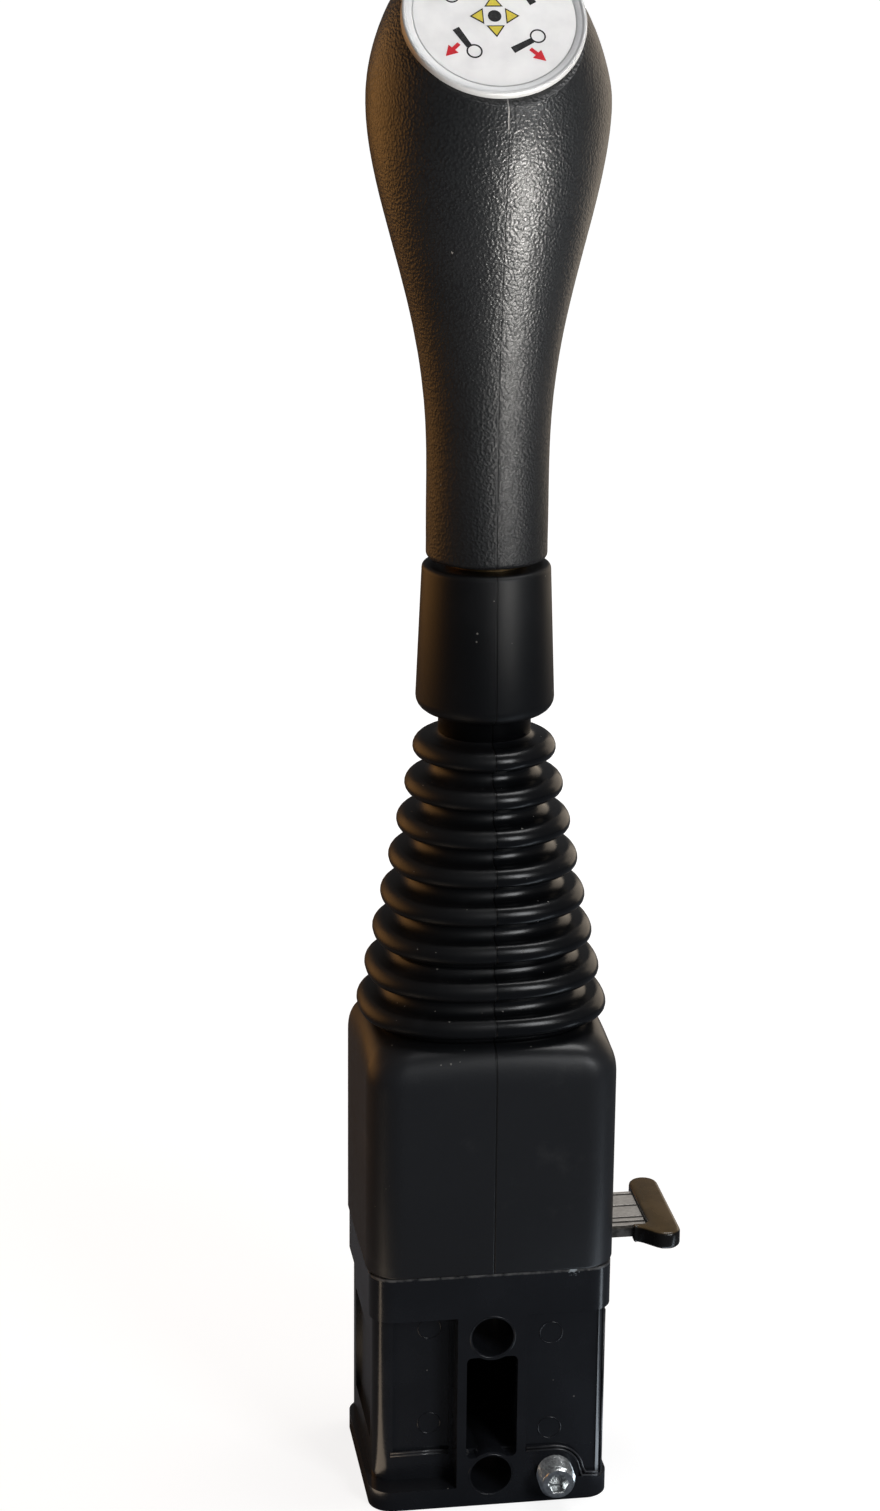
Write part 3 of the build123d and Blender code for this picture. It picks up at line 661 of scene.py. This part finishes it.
def close_tree(bench, grid, spot, merge, finish, soft):
    """Move a grid's points to their spots, close its seam, make it real and give it a finish."""
    bent = bench.node("GeometryNodeSetPosition", inputs={"Geometry": grid, "Position": spot})
    closed = bench.node("GeometryNodeMergeByDistance",
                        inputs={"Geometry": bent, "Distance": merge})
    if soft:
        closed = bench.node("GeometryNodeSetShadeSmooth", inputs={"Geometry": closed})
    real = bench.node("GeometryNodeRealizeInstances", inputs={"Geometry": closed})
    coated = bench.node("GeometryNodeSetMaterial", inputs={"Geometry": real, "Material": finish})
    bench.node("NodeGroupOutput", inputs={0: coated})


def grow(name, tree, values, thickness=None):
    """Run a tree on an empty mesh and keep its result as a plain mesh object."""
    seed = new_mesh_object(name + "_seed", [], [])
    modifier = seed.modifiers.new("tree", "NODES")
    modifier.node_group = tree
    for port in tree.interface.items_tree:
        if port.in_out == "INPUT":
            modifier[port.identifier] = values[port.name]
    if thickness is not None:
        shell = seed.modifiers.new("wall", "SOLIDIFY")
        shell.thickness = thickness
        shell.offset = -1.0
        shell.use_even_offset = True
    bpy.context.view_layer.update()
    grown = bpy.data.meshes.new_from_object(
        seed.evaluated_get(bpy.context.evaluated_depsgraph_get()))
    bpy.data.objects.remove(seed)
    grown.name = name
    return keep_mesh(name, grown)


# %% The tree of the folds
def fold_tree():
    tree, bench, size = open_tree("gaiter folds", {
        "Rings": "Float", "First Ring": "Float", "All Rings": "Float", "Pitch": "Float",
        "Crest Radius": "Float", "Fold Depth": "Float", "Top Height": "Float",
        "Top Radius": "Float", "Low Radius": "Float", "Low Depth": "Float",
        "Top Power": "Float", "Low Power": "Float", "Columns": "Int", "Rows": "Int",
        "Rubber": "Material"})
    grid = bench.node("GeometryNodeMeshGrid", inputs={
        "Size X": 1.0, "Size Y": 1.0, "Vertices X": size["Columns"], "Vertices Y": size["Rows"]})
    around, along, _ = bench.axes(bench.node("GeometryNodeInputPosition"))
    turn = (around + 0.5) * (2 * math.pi)
    fall = (0.5 - along) * size["Rings"]
    phase = (fall - fall.whole() - 0.5) * (2 * math.pi)
    crest = phase.cosine() > 0
    side = (phase > 0) * 2 - 1
    crest_round = size["Crest Radius"]
    valley_round = size["Pitch"] / 2 - crest_round
    drop_crest = phase.sine() * crest_round
    drop_valley = side * (size["Pitch"] / 2) - phase.sine() * valley_round
    inward_crest = phase.cosine() * crest_round - crest_round
    inward_valley = phase.cosine() * valley_round + (valley_round - size["Fold Depth"])
    drop = crest * drop_crest + (1 - crest) * drop_valley
    inward = crest * inward_crest + (1 - crest) * inward_valley
    height = size["Top Height"] - (size["First Ring"] + fall.whole()) * size["Pitch"] - drop
    share = (size["Top Height"] - height) / ((size["All Rings"] - 1) * size["Pitch"])
    radius = size["Top Radius"] + share * (size["Low Radius"] - size["Top Radius"]) + inward
    ratio = 1 + share * (size["Low Depth"] / size["Low Radius"] - 1)
    power = size["Top Power"] + share * (size["Low Power"] - size["Top Power"])
    wide = (abs(turn.cosine()) / radius) ** power
    deep = (abs(turn.sine()) / (radius * ratio)) ** power
    reach = (wide + deep) ** (-1 / power)
    spot = bench.node("ShaderNodeCombineXYZ", inputs={
        0: reach * turn.cosine(), 1: reach * turn.sine(), 2: height})
    close_tree(bench, grid, spot, 0.005 * mm, size["Rubber"], soft=True)
    return tree


fold_group = fold_tree()
print("fold tree:", len(fold_group.nodes), "nodes")


# %% Grow the two parts of the folds
def grow_folds(name, rings, first_ring):
    """Some of the rings, counted from the top one."""
    return grow(name, fold_group, {
        "Rings": float(rings), "First Ring": float(first_ring), "All Rings": float(ring_count),
        "Pitch": ring_pitch, "Crest Radius": crest_radius, "Fold Depth": fold_depth,
        "Top Height": top_ring_z, "Top Radius": top_ring_radius, "Low Radius": low_ring_radius,
        "Low Depth": low_ring_depth, "Top Power": round_power, "Low Power": square_power,
        "Columns": columns_around + 1, "Rows": rings * rows_per_ring + 1, "Rubber": rubber},
        fold_wall)


lower_rings = 2
upper_rings = ring_count - lower_rings
upper_folds = grow_folds("gaiter_folds_upper", upper_rings, 0)
lower_folds = grow_folds("gaiter_folds_lower", lower_rings, upper_rings)
foot_z = top_ring_z - (ring_count - 0.5) * ring_pitch
print("folds:", len(upper_folds.data.polygons), "and", len(lower_folds.data.polygons), "faces")

# %% [markdown]
# ## The gaiter's foot
# Under the lowest ring the gaiter changes from an oval to the square of the housing. The foot is
# a skin over level sections: each section is a closed outline given by its distance from the
# middle for every direction, so an oval and a rounded rectangle can be mixed by a share. The
# last sections turn inwards and up again, which gives the rubber a wall with a rounded lower rim.


# %% Outlines by direction
def oval_reach(angle, wide, deep, power):
    """Distance from the middle to a squared-off oval, in one direction."""
    total = (abs(math.cos(angle)) / wide) ** power + (abs(math.sin(angle)) / deep) ** power
    return total ** (-1 / power)


def square_reach(angle, wide, deep, corner):
    """Distance from the middle to a rectangle with rounded corners, in one direction."""
    cos = abs(math.cos(angle))
    sin = abs(math.sin(angle))
    side = min(wide / max(cos, 1e-9), deep / max(sin, 1e-9))
    x, y = side * cos, side * sin
    if x <= wide - corner or y <= deep - corner:
        return side
    middle_x, middle_y = wide - corner, deep - corner
    along = middle_x * cos + middle_y * sin
    return along + math.sqrt(max(along ** 2 - middle_x ** 2 - middle_y ** 2 + corner ** 2, 0.0))


def band(below, above, count):
    """Faces between two closed rows of points, given by the index of each row's first point."""
    return [(below + k, below + (k + 1) % count, above + (k + 1) % count, above + k)
            for k in range(count)]


def skin(name, sections, finish, closed=False, caps=False):
    """Join level sections, each a list of points, into one smooth mesh."""
    count = len(sections[0])
    points = [point for section in sections for point in section]
    faces = []
    rows = len(sections)
    for row in range(rows if closed else rows - 1):
        faces += band(row * count, (row + 1) % rows * count, count)
    if caps:
        faces.append(tuple(reversed(range(count))))
        faces.append(tuple(range((rows - 1) * count, rows * count)))
    made = new_mesh_object(name, points, faces)
    made.data.materials.append(finish)
    made.data.shade_smooth()
    return made


def face_outwards(piece):
    """Turn all faces of a closed mesh to point outwards."""
    shape = bmesh.new()
    shape.from_mesh(piece.data)
    bmesh.ops.remove_doubles(shape, verts=shape.verts, dist=0.002 * mm)
    bmesh.ops.recalc_face_normals(shape, faces=shape.faces)
    shape.to_mesh(piece.data)
    shape.free()
    return piece


# %% Build the foot
foot_half_x = 0.5 * (skirt_high.x - skirt_low.x)
foot_half_y = 0.5 * (skirt_high.y - skirt_low.y)
foot_corner = 7.0 * mm
foot_rise = 8.6 * mm
foot_power = 2.4
foot_rim = 0.7 * mm
foot_wall = 1.5 * mm
foot_gap = 0.02 * mm
foot_least_corner = 1.5 * mm
foot_columns = 264
foot_steps = 26
crease_share = (ring_count - 0.5) / (ring_count - 1)
crease_x = top_ring_radius + crease_share * (low_ring_radius - top_ring_radius) - fold_depth
crease_ratio = 1 + crease_share * (low_ring_depth / low_ring_radius - 1)
crease_power = round_power + crease_share * (square_power - round_power)


def foot_section(height, inset, share):
    """One section: share 0 is the crease's oval, share 1 the rounded rectangle."""
    points = []
    for column in range(foot_columns):
        angle = 2 * math.pi * column / foot_columns
        oval = oval_reach(angle, crease_x, crease_x * crease_ratio, crease_power)
        corner = max(foot_corner - inset, foot_least_corner)
        square = square_reach(angle, foot_half_x - inset, foot_half_y - inset, corner)
        reach = oval + (square - oval) * share
        points.append((reach * math.cos(angle), reach * math.sin(angle), height))
    return points


def foot_sections():
    """The crown from crease to shoulder, then down the skirt, in, and up the inside."""
    shoulder_z = foot_z - foot_rise
    made = []
    for step in range(foot_steps + 1):
        share = math.sin(math.pi / 2 * step / foot_steps)
        height = shoulder_z + foot_rise * (1 - share ** foot_power) ** (1 / foot_power)
        made.append(foot_section(height, 0.0, share))
    for height, inset, share in (
            (0.5 * (shoulder_z + skirt_low.z), 0.0, 1.0),
            (skirt_low.z + foot_rim, 0.0, 1.0),
            (skirt_low.z + 0.3 * foot_rim, 0.3 * foot_rim, 1.0),
            (skirt_low.z + foot_gap, foot_rim, 1.0),
            (skirt_low.z + foot_gap, foot_wall, 1.0),
            (shoulder_z - foot_wall, foot_wall, 1.0),
            (shoulder_z + 0.4 * foot_rise, foot_wall, 0.60),
            (foot_z - foot_wall, foot_wall, -0.12)):
        made.append(foot_section(height, inset, share))
    return made


gaiter_foot = face_outwards(skin("gaiter_foot", foot_sections(), rubber, closed=True))
print("foot:", len(gaiter_foot.data.polygons), "faces")

# %% [markdown]
# ## The gaiter's cuff
# Above the folds the rubber becomes a smooth cuff that covers the lock nut and grips the
# handle's metal collar. It is turned: one outline, swept around the lever.


# %% Turn the cuff
cuff_low, cuff_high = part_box("gaiter_sleeve")
rod_low, rod_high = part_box("lever_rod")
cuff_bottom = 173.6 * mm
cuff_top = cuff_high.z
cuff_low_radius = 0.5 * (cuff_high.x - cuff_low.x)
cuff_top_radius = 13.2 * mm
cuff_wall = 1.8 * mm
rod_radius = 0.5 * (rod_high.x - rod_low.x)
collar_radius = 7.9 * mm


def quarter(middle, radius, start, end, steps=6):
    """Points (radius, height) along a quarter round, by angles in degrees."""
    points = []
    for step in range(steps + 1):
        angle = math.radians(start + (end - start) * step / steps)
        points.append((middle[0] + radius * math.cos(angle), middle[1] + radius * math.sin(angle)))
    return points


def upright(x, y, height):
    """A point about the lever's own axis."""
    return (x, y, height)


def turned(name, outline, finish, columns=160, lay=upright):
    """Sweep a closed outline of (radius, height) points around an axis."""
    sections = []
    for radius, height in outline:
        ring = []
        for column in range(columns):
            angle = 2 * math.pi * column / columns
            ring.append(lay(radius * math.cos(angle), radius * math.sin(angle), height))
        sections.append(ring)
    return face_outwards(skin(name, sections, finish, closed=True))


neck = top_ring_radius - fold_depth - 0.2 * mm
neck_z = top_ring_z + 3.0 * mm
low_round = 3.0 * mm
top_round = 1.0 * mm
cuff_outline = (
    [(rod_radius, neck_z), (neck, neck_z)]
    + [(neck, cuff_bottom - 0.2 * mm), (neck + 0.6 * mm, cuff_bottom)]
    + quarter((cuff_low_radius - low_round, cuff_bottom + low_round), low_round, -90, 0)
    + quarter((cuff_top_radius - top_round, cuff_top - top_round), top_round, 0, 90)
    + [(collar_radius, cuff_top), (collar_radius, cuff_top - cuff_wall)]
    + [(cuff_top_radius - cuff_wall, cuff_top - cuff_wall)]
    + [(cuff_low_radius - cuff_wall, cuff_bottom + low_round)]
    + [(cuff_low_radius - 2.2 * cuff_wall, cuff_bottom + cuff_wall)]
    + [(rod_radius, cuff_bottom + cuff_wall)])
gaiter_cuff = turned("gaiter_cuff", cuff_outline, rubber)
print("cuff:", len(gaiter_cuff.data.polygons), "faces")

# %% Fit the gaiter to the moving bodies
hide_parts("gaiter_skirt")
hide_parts("gaiter_bellows")
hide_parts("gaiter_sleeve")
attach(gaiter_foot, "base")
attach(gaiter_cuff, "lever")
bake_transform(lower_folds)
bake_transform(upper_folds)
print("gaiter fitted")

# %% [markdown]
# ## The ring round the function plate
# The handle's head is closed by a white disc, pressed into a ring of grey plastic. The ring has a
# rounded outer lip and a shallow groove beside the disc. Like the cuff it is turned, but about
# the tilted axis of the plate, so the sweep is told how to lay its points on that axis.

# %% The plate's own axes
plate_low, plate_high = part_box("function_plate")
plate_tilt = math.radians(40.0)
plate_thickness = 1.2 * mm
plate_normal = Vector((0.0, -math.cos(plate_tilt), math.sin(plate_tilt)))
plate_up = Vector((0.0, math.sin(plate_tilt), math.cos(plate_tilt)))
plate_radius = 0.5 * (plate_high.x - plate_low.x)
plate_face = 0.5 * (plate_low + plate_high) + plate_normal * (0.5 * plate_thickness)


def on_plate(x, y, height):
    """A point from its place on the plate and its height over it."""
    return plate_face + Vector((x, 0.0, 0.0)) + plate_up * y + plate_normal * height


print("plate centre in mm:", [round(v / mm, 1) for v in plate_face])

# %% Turn the ring
ring_low, ring_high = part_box("plate_bezel")
ring_outer = 0.5 * (ring_high.x - ring_low.x)
ring_inner = plate_radius + 0.02 * mm
ring_foot = -2.55 * mm
ring_crown = 0.36 * mm
lip_round = 0.45 * mm
lip_width = 0.70 * mm
groove_depth = 0.24 * mm
ring_outline = (
    [(ring_inner, ring_foot), (ring_outer, ring_foot)]
    + quarter((ring_outer - lip_round, ring_crown - lip_round), lip_round, 0, 90)
    + [(ring_outer - lip_width, ring_crown)]
    + [(ring_outer - lip_width - 0.16 * mm, ring_crown - 0.20 * mm)]
    + [(ring_outer - lip_width - 0.40 * mm, ring_crown - groove_depth)]
    + [(ring_inner + 0.30 * mm, 0.04 * mm), (ring_inner, -0.10 * mm)])
plate_ring = turned("plate_ring", ring_outline, grey, lay=on_plate)
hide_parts("plate_bezel")
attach(plate_ring, "lever")
print("ring:", len(plate_ring.data.polygons), "faces")

# %% [markdown]
# ## The print on the plate
# The plate shows which way the lever moves what. This one carries a plain pattern: a black dot,
# four yellow arrowheads with a black edge, and between them four signs of a circle, a bar and a
# red arrow. Ink has a thickness, so each colour is a thin slab on the disc. A slab is drawn as a
# flat outline, turned to its place and raised; an edge line is a slab between two outlines.

# %% Outlines on the plate
ink_thickness = 0.05 * mm
ink_root = -0.2 * ink_thickness


def rotated(outline, degrees, shift=(0.0, 0.0)):
    """An outline in millimetres, first shifted, then turned about the plate's centre."""
    angle = math.radians(degrees)
    cos, sin = math.cos(angle), math.sin(angle)
    moved = [(x + shift[0], y + shift[1]) for x, y in outline]
    return [(x * cos - y * sin, x * sin + y * cos) for x, y in moved]


def disc_outline(x, y, radius, count=32):
    """The points of a circle in a plane."""
    return [(x + radius * math.cos(2 * math.pi * k / count),
             y + radius * math.sin(2 * math.pi * k / count)) for k in range(count)]


def grown(outline, factor):
    """The same outline, larger about its own middle."""
    middle_x = sum(x for x, y in outline) / len(outline)
    middle_y = sum(y for x, y in outline) / len(outline)
    return [(middle_x + (x - middle_x) * factor, middle_y + (y - middle_y) * factor)
            for x, y in outline]


def print_slab(name, finish, solid=(), lines=()):
    """One colour of the print: filled outlines, and lines between two outlines."""
    points, faces = [], []
    for outline in solid:
        first, count = len(points), len(outline)
        for height in (ink_root, ink_thickness):
            points += [on_plate(x * mm, y * mm, height) for x, y in outline]
        faces.append(tuple(first + k for k in reversed(range(count))))
        faces.append(tuple(first + count + k for k in range(count)))
        faces += band(first, first + count, count)
    for outer, inner in lines:
        first, count = len(points), len(outer)
        for outline, height in ((outer, ink_root), (outer, ink_thickness),
                                (inner, ink_thickness), (inner, ink_root)):
            points += [on_plate(x * mm, y * mm, height) for x, y in outline]
        for row in range(4):
            faces += band(first + row * count, first + (row + 1) % 4 * count, count)
    made = new_mesh_object(name, points, faces)
    made.data.materials.append(finish)
    face_outwards(made)
    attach(made, "lever")
    return made


# %% Print the signs
arrowhead = [(-1.35, 2.35), (1.35, 2.35), (0.0, 4.35)]
bar = [(-0.9, 0.1), (3.5, -1.3), (3.9, 0.1), (-0.5, 1.2)]
red_arrow = [(-0.40, 0.0), (0.40, 0.0), (0.40, 1.6), (1.25, 1.6), (0.0, 3.9), (-1.25, 1.6),
             (-0.40, 1.6)]
edge_growth = 1.32
heads = [rotated(arrowhead, 90 * k) for k in range(4)]
black_solids = [disc_outline(0.0, 0.0, 1.30)]
black_lines = [(grown(head, edge_growth), head) for head in heads]
red_solids = []
for k in range(4):
    turn = 45 + 90 * k
    black_solids.append(rotated(bar, turn, (-0.2, 8.0)))
    circle = rotated(disc_outline(-2.3, 8.8, 1.55), turn)
    black_lines.append((circle, grown(circle, 0.80)))
    red_solids.append(rotated(red_arrow, turn, (0.9, 9.6)))
print_black = print_slab("plate_print_black", ink_black, black_solids, black_lines)
print_yellow = print_slab("plate_print_yellow", ink_yellow, heads)
print_red = print_slab("plate_print_red", ink_red, red_solids)
print("print:", [len(o.data.polygons) for o in (print_black, print_yellow, print_red)])

# %% [markdown]
# ## The cable set screws
# Two set screws clamp the sheaths of the control cables. A thread is a rule: the radius goes up
# and down once per pitch, and a little later with every step around, which makes the helix. So
# Geometry Nodes bend one grid into the whole screw. Its rows run from the tip along the thread,
# over the chamfer and the end face, down the hexagon socket and to the middle of its floor.


# %% The tree of the set screw
thread_pitch = 1.25 * mm
thread_depth = 0.65 * mm
hexagon_reach = 2.0 * mm
screw_columns = 72
screw_rows = 140


def screw_tree():
    tree, bench, size = open_tree("set screw", {
        "Radius": "Float", "Pitch": "Float", "Thread Depth": "Float", "Length": "Float",
        "Socket": "Float", "Side": "Float", "Columns": "Int", "Rows": "Int",
        "End": "Vector", "Metal": "Material"})
    radius, side = size["Radius"], size["Side"]
    grid = bench.node("GeometryNodeMeshGrid", inputs={
        "Size X": 1.0, "Size Y": 1.0, "Vertices X": size["Columns"], "Vertices Y": size["Rows"]})
    around, along, _ = bench.axes(bench.node("GeometryNodeInputPosition"))
    turn = around + 0.5
    row = along + 0.5

    def stage(low, high):
        """0 before a share of the rows, 1 after another, and straight between them."""
        return bench.node("ShaderNodeMapRange", inputs={
            "Value": row, "From Min": low, "From Max": high})

    tip, shaft, bevel = stage(0.0, 0.04), stage(0.04, 0.86), stage(0.86, 0.89)
    face, wall_down, floor_in = stage(0.89, 0.92), stage(0.92, 0.96), stage(0.96, 1.0)
    chamfer = radius * 0.17
    socket_depth = radius * 0.8
    depth = shaft * (size["Length"] - chamfer) + bevel * chamfer - wall_down * socket_depth
    wave = bench.node("ShaderNodeMath", {"operation": "PINGPONG"},
                      {0: depth / size["Pitch"] + turn, 1: 0.5}) * 2
    groove = (1 - wave) * size["Thread Depth"] * (1 - bevel) * tip
    sector = ((turn * 6) - (turn * 6).whole() - 0.5) * (math.pi / 3)
    flat = 1 / sector.cosine() - 1
    reach = (radius * tip - groove - chamfer * bevel
             - (radius - chamfer - size["Socket"]) * face - size["Socket"] * floor_in)
    reach = reach * (1 + flat * face)
    angle = turn * (2 * math.pi)
    spot = bench.node("ShaderNodeCombineXYZ", inputs={
        0: reach * angle.cosine() * side, 1: (size["Length"] - depth) * side,
        2: reach * angle.sine()})
    placed = bench.node("ShaderNodeVectorMath", {"operation": "ADD"}, {0: spot, 1: size["End"]})
    close_tree(bench, grid, placed, 0.004 * mm, size["Metal"], soft=False)
    return tree


screw_group = screw_tree()
print("screw tree:", len(screw_group.nodes), "nodes")

# %% Turn both set screws
for end, side in (("front", 1.0), ("rear", -1.0)):
    low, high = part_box("cable_screw_" + end)
    middle = 0.5 * (low + high)
    outer_y = low.y if side > 0 else high.y
    screw = grow("set_screw_" + end, screw_group, {
        "Radius": 0.5 * (high.x - low.x), "Pitch": thread_pitch, "Thread Depth": thread_depth,
        "Length": high.y - low.y, "Socket": hexagon_reach, "Side": side,
        "Columns": screw_columns + 1, "Rows": screw_rows + 1,
        "End": (middle.x, outer_y, middle.z), "Metal": screw_zinc})
    face_outwards(screw)
    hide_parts("cable_screw_" + end)
    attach(screw, "base")
    print("set screw", end, len(screw.data.polygons), "faces")

# %% [markdown]
# ## Raised marks of the housing's mould
# A moulded housing keeps traces of its mould: round marks where the ejector pins pushed, a double
# bead along the lower edges of the panels, thin rims at the bolt holes, and two lines that run up
# the right front corner. They are only a few tenths of a millimetre high but catch the light. The
# beads along the edges and up the corner are lighter than the housing: a painted highlight for the
# light that rounded edges catch. Each is a thin round bead, half sunk into the wall, swept along a
# line or a circle.


# %% Lay beads on the housing
def bead(name, paths, radius, finish):
    """Round beads along open or closed lines of points."""
    curve = bpy.data.curves.new(name, "CURVE")
    curve.dimensions = "3D"
    curve.bevel_depth = radius
    curve.bevel_resolution = 2
    curve.use_fill_caps = True
    for path, closed in paths:
        spline = curve.splines.new("POLY")
        spline.points.add(len(path) - 1)
        for point, place in zip(spline.points, path):
            point.co = (*place, 1.0)
        spline.use_cyclic_u = closed
    carrier = bpy.data.objects.new(name + "_line", curve)
    bpy.context.scene.collection.objects.link(carrier)
    bpy.context.view_layer.update()
    shape = bpy.data.meshes.new_from_object(
        carrier.evaluated_get(bpy.context.evaluated_depsgraph_get()))
    bpy.data.objects.remove(carrier)
    shape.name = name
    made = keep_mesh(name, shape)
    made.data.materials.clear()
    made.data.materials.append(finish)
    made.data.shade_smooth()
    return face_outwards(made)


def ring_path(x, y, z, radius):
    """A circle that stands upright, parallel to the housing's front."""
    return [(across, y, up) for across, up in disc_outline(x, z, radius, 48)]


bead_y = front_y + 0.04 * mm
panel_y = front_y + 0.7 * mm
set_back_y = front_y + 5.4 * mm
set_back_panel_y = set_back_y + 0.7 * mm
pin_x, pin_radius = 12.7 * mm, 2.45 * mm
pin_heights = (17.4 * mm, 40.1 * mm)
bolt_rim_radius = 4.85 * mm
bolt_heights = (7.3 * mm, 40.2 * mm)
fine_bead, wide_bead = 0.13 * mm, 0.26 * mm

# %% Pin marks and rims
fine_paths = []
for height in pin_heights:
    fine_paths.append((ring_path(pin_x, panel_y, height, pin_radius), True))
    fine_paths.append((ring_path(-pin_x, set_back_panel_y, height, pin_radius), True))
for height in bolt_heights:
    fine_paths.append((ring_path(0.0, front_y + 0.03 * mm, height, bolt_rim_radius), True))
pin_marks = bead("housing_pin_marks", fine_paths, fine_bead, moulded)
print("fine beads:", len(fine_paths))

# %% Beads along the panels' edges
# The edge beads get a lighter plastic: a painted highlight along the edges.
bead_plastic_painted_highlight = gloss_moulding("housing bead plastic with painted highlight", (0.020, 0.021, 0.024),
                              (0.075, 0.075, 0.078), 0.16)
screw_x, boss_z, boss_radius = 13.8 * mm, 7.0 * mm, 5.4 * mm
rib_side, panel_side = 7.7 * mm, 23.4 * mm
left_from, left_to = -21.2 * mm, -8.5 * mm
corner_y = front_y + 1.25 * mm
corner_from, corner_to = 5.2 * mm, 44.6 * mm


def over_the_boss(gap):
    """The panel's lower edge: level, round the screw's boss, and level again near the side."""
    reach = boss_radius + gap
    path = [(rib_side, bead_y, boss_z + reach)]
    for step in range(13):
        angle = math.radians(90 - 82 * step / 12)
        path.append((screw_x + reach * math.cos(angle) * 1.02, bead_y,
                     boss_z + reach * math.sin(angle)))
    path.append((screw_x + reach + 0.8 * mm, bead_y, 5.6 * mm + gap))
    path.append((panel_side, bead_y, 5.4 * mm + gap))
    return path


bead_paths = [(over_the_boss(gap), False) for gap in (0.0, 0.75 * mm)]
for height in (10.3 * mm, 11.0 * mm):
    bead_paths.append(([(left_from, set_back_y, height), (left_to, set_back_y, height)], False))
for side_x in (23.3 * mm, 24.3 * mm):
    bead_paths.append(([(side_x, corner_y, corner_from), (side_x, corner_y, corner_to)], False))
edge_beads = bead("housing_edge_beads", bead_paths, wide_bead, bead_plastic_painted_highlight)
for piece in (pin_marks, edge_beads):
    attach(piece, "base")
print("beads:", len(pin_marks.data.polygons) + len(edge_beads.data.polygons), "faces")

# %% [markdown]
# ## Pads on the lock strip
# The strip is stamped: two wide pads and three narrow rails stand a tenth of a millimetre proud,
# so that it slides easily. The pads show the zinc's light grey, and the strip between them is
# painted dark, as the shade beside the steps.


# %% Stamp the pads
strip_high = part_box("lock_strip")[1]
pad_height = 0.12 * mm
pad_root = 0.05 * mm
pad_bevel = 0.10 * mm
pad_start = strip_high.x - 14.5 * mm
pad_end = strip_high.x - 3.2 * mm
pad_edges_mm = [(8.0, 9.0), (2.4, 7.2), (-3.4, 1.6), (-5.4, -4.2), (-7.6, -6.4)]


def raised_pads(name, edges_mm, finish):
    """Flat-topped pads with bevelled edges, from the places of their front and rear edges."""
    points, faces = [], []
    for front, rear in ((a * mm, b * mm) for a, b in edges_mm):
        first = len(points)
        for inset, z in ((0.0, strip_high.z - pad_root), (0.0, strip_high.z + 0.4 * pad_height),
                         (pad_bevel, strip_high.z + pad_height)):
            points += [(pad_start + inset, front + inset, z), (pad_end - inset, front + inset, z),
                       (pad_end - inset, rear - inset, z), (pad_start + inset, rear - inset, z)]
        faces.append((first + 3, first + 2, first + 1, first))
        faces.append((first + 8, first + 9, first + 10, first + 11))
        faces += band(first, first + 4, 4) + band(first + 4, first + 8, 4)
    made = new_mesh_object(name, points, faces)
    made.data.materials.append(finish)
    return face_outwards(made)


strip_pads = raised_pads("lock_strip_pads", pad_edges_mm, pad_zinc)
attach(strip_pads, "lock_slider")
print("pads:", len(pad_edges_mm))

# %% [markdown]
# ## The lock's pull
# The pull is one glossy moulding: a bar for two fingers, and on the operator's side a web that
# swings over to the strip in a soft S. It is a plan outline with a rounded upper and lower edge,
# so the outline is first worked out as points, then stacked in a few levels, each a little
# smaller near the top and the bottom.


# %% Mould the pull
pull_low, pull_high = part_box("lock_handle")
bar_half = 0.5 * (pull_high.y - pull_low.y)
bar_width = 6.4 * mm
bar_inner = pull_high.x - bar_width
web_inner = pull_low.x + 0.6 * mm
web_inner_y = -8.6 * mm
web_outer_y = -(strip_high.y + 1.1 * mm)
web_steps = 14
pull_edge = 0.75 * mm


def pull_outline():
    """The bar with its two round ends, and the web's S-curve on the operator's side."""
    end = 0.5 * bar_width
    middle = bar_inner + end
    points = [(middle + end * math.cos(a), bar_half - end + end * math.sin(a))
              for a in (math.pi * k / 16 for k in range(17))]
    points += [(bar_inner, y * mm) for y in (8.0, 4.0, 0.0, -4.0, -7.6)]
    points += [(bar_inner - 1.0 * mm, web_inner_y), (web_inner, web_inner_y)]
    for k in range(web_steps + 1):
        share = k / web_steps
        eased = share * share * (3 - 2 * share)
        points.append((web_inner + (middle - 0.6 * mm - web_inner) * share,
                       web_outer_y + (-bar_half + 0.12 * mm - web_outer_y) * eased))
    points += [(middle + end * math.cos(a), -bar_half + end + end * math.sin(a))
               for a in (-math.pi / 2 + math.pi / 2 * k / 10 for k in range(1, 11))]
    return points


def shrunk(outline, inset):
    """The outline moved inwards by an inset, along the bisector at every point."""
    moved = []
    count = len(outline)
    for k, (x, y) in enumerate(outline):
        before, after = outline[k - 1], outline[(k + 1) % count]
        along = Vector((after[0] - before[0], after[1] - before[1])).normalized()
        moved.append((x - along.y * inset, y + along.x * inset))
    return moved


def stacked(name, outline, low_z, high_z, edge, finish):
    """A plate of the given outline with rounded upper and lower edges."""
    levels = [(low_z + edge * (1 - math.cos(math.radians(a))),
               edge * (1 - math.sin(math.radians(a)))) for a in (0, 30, 60, 90)]
    levels += [(high_z - edge * (1 - math.cos(math.radians(a))),
                edge * (1 - math.sin(math.radians(a)))) for a in (90, 60, 30, 0)]
    sections = [[(x, y, z) for x, y in shrunk(outline, inset)] for z, inset in levels]
    made = skin(name, sections, finish, caps=True)
    return face_outwards(made)


lock_pull = stacked("lock_pull", pull_outline(), pull_low.z, pull_high.z, pull_edge,
                    pull_painted_warm_top)
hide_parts("lock_handle")
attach(lock_pull, "lock_slider")
print("pull:", len(lock_pull.data.polygons), "faces")
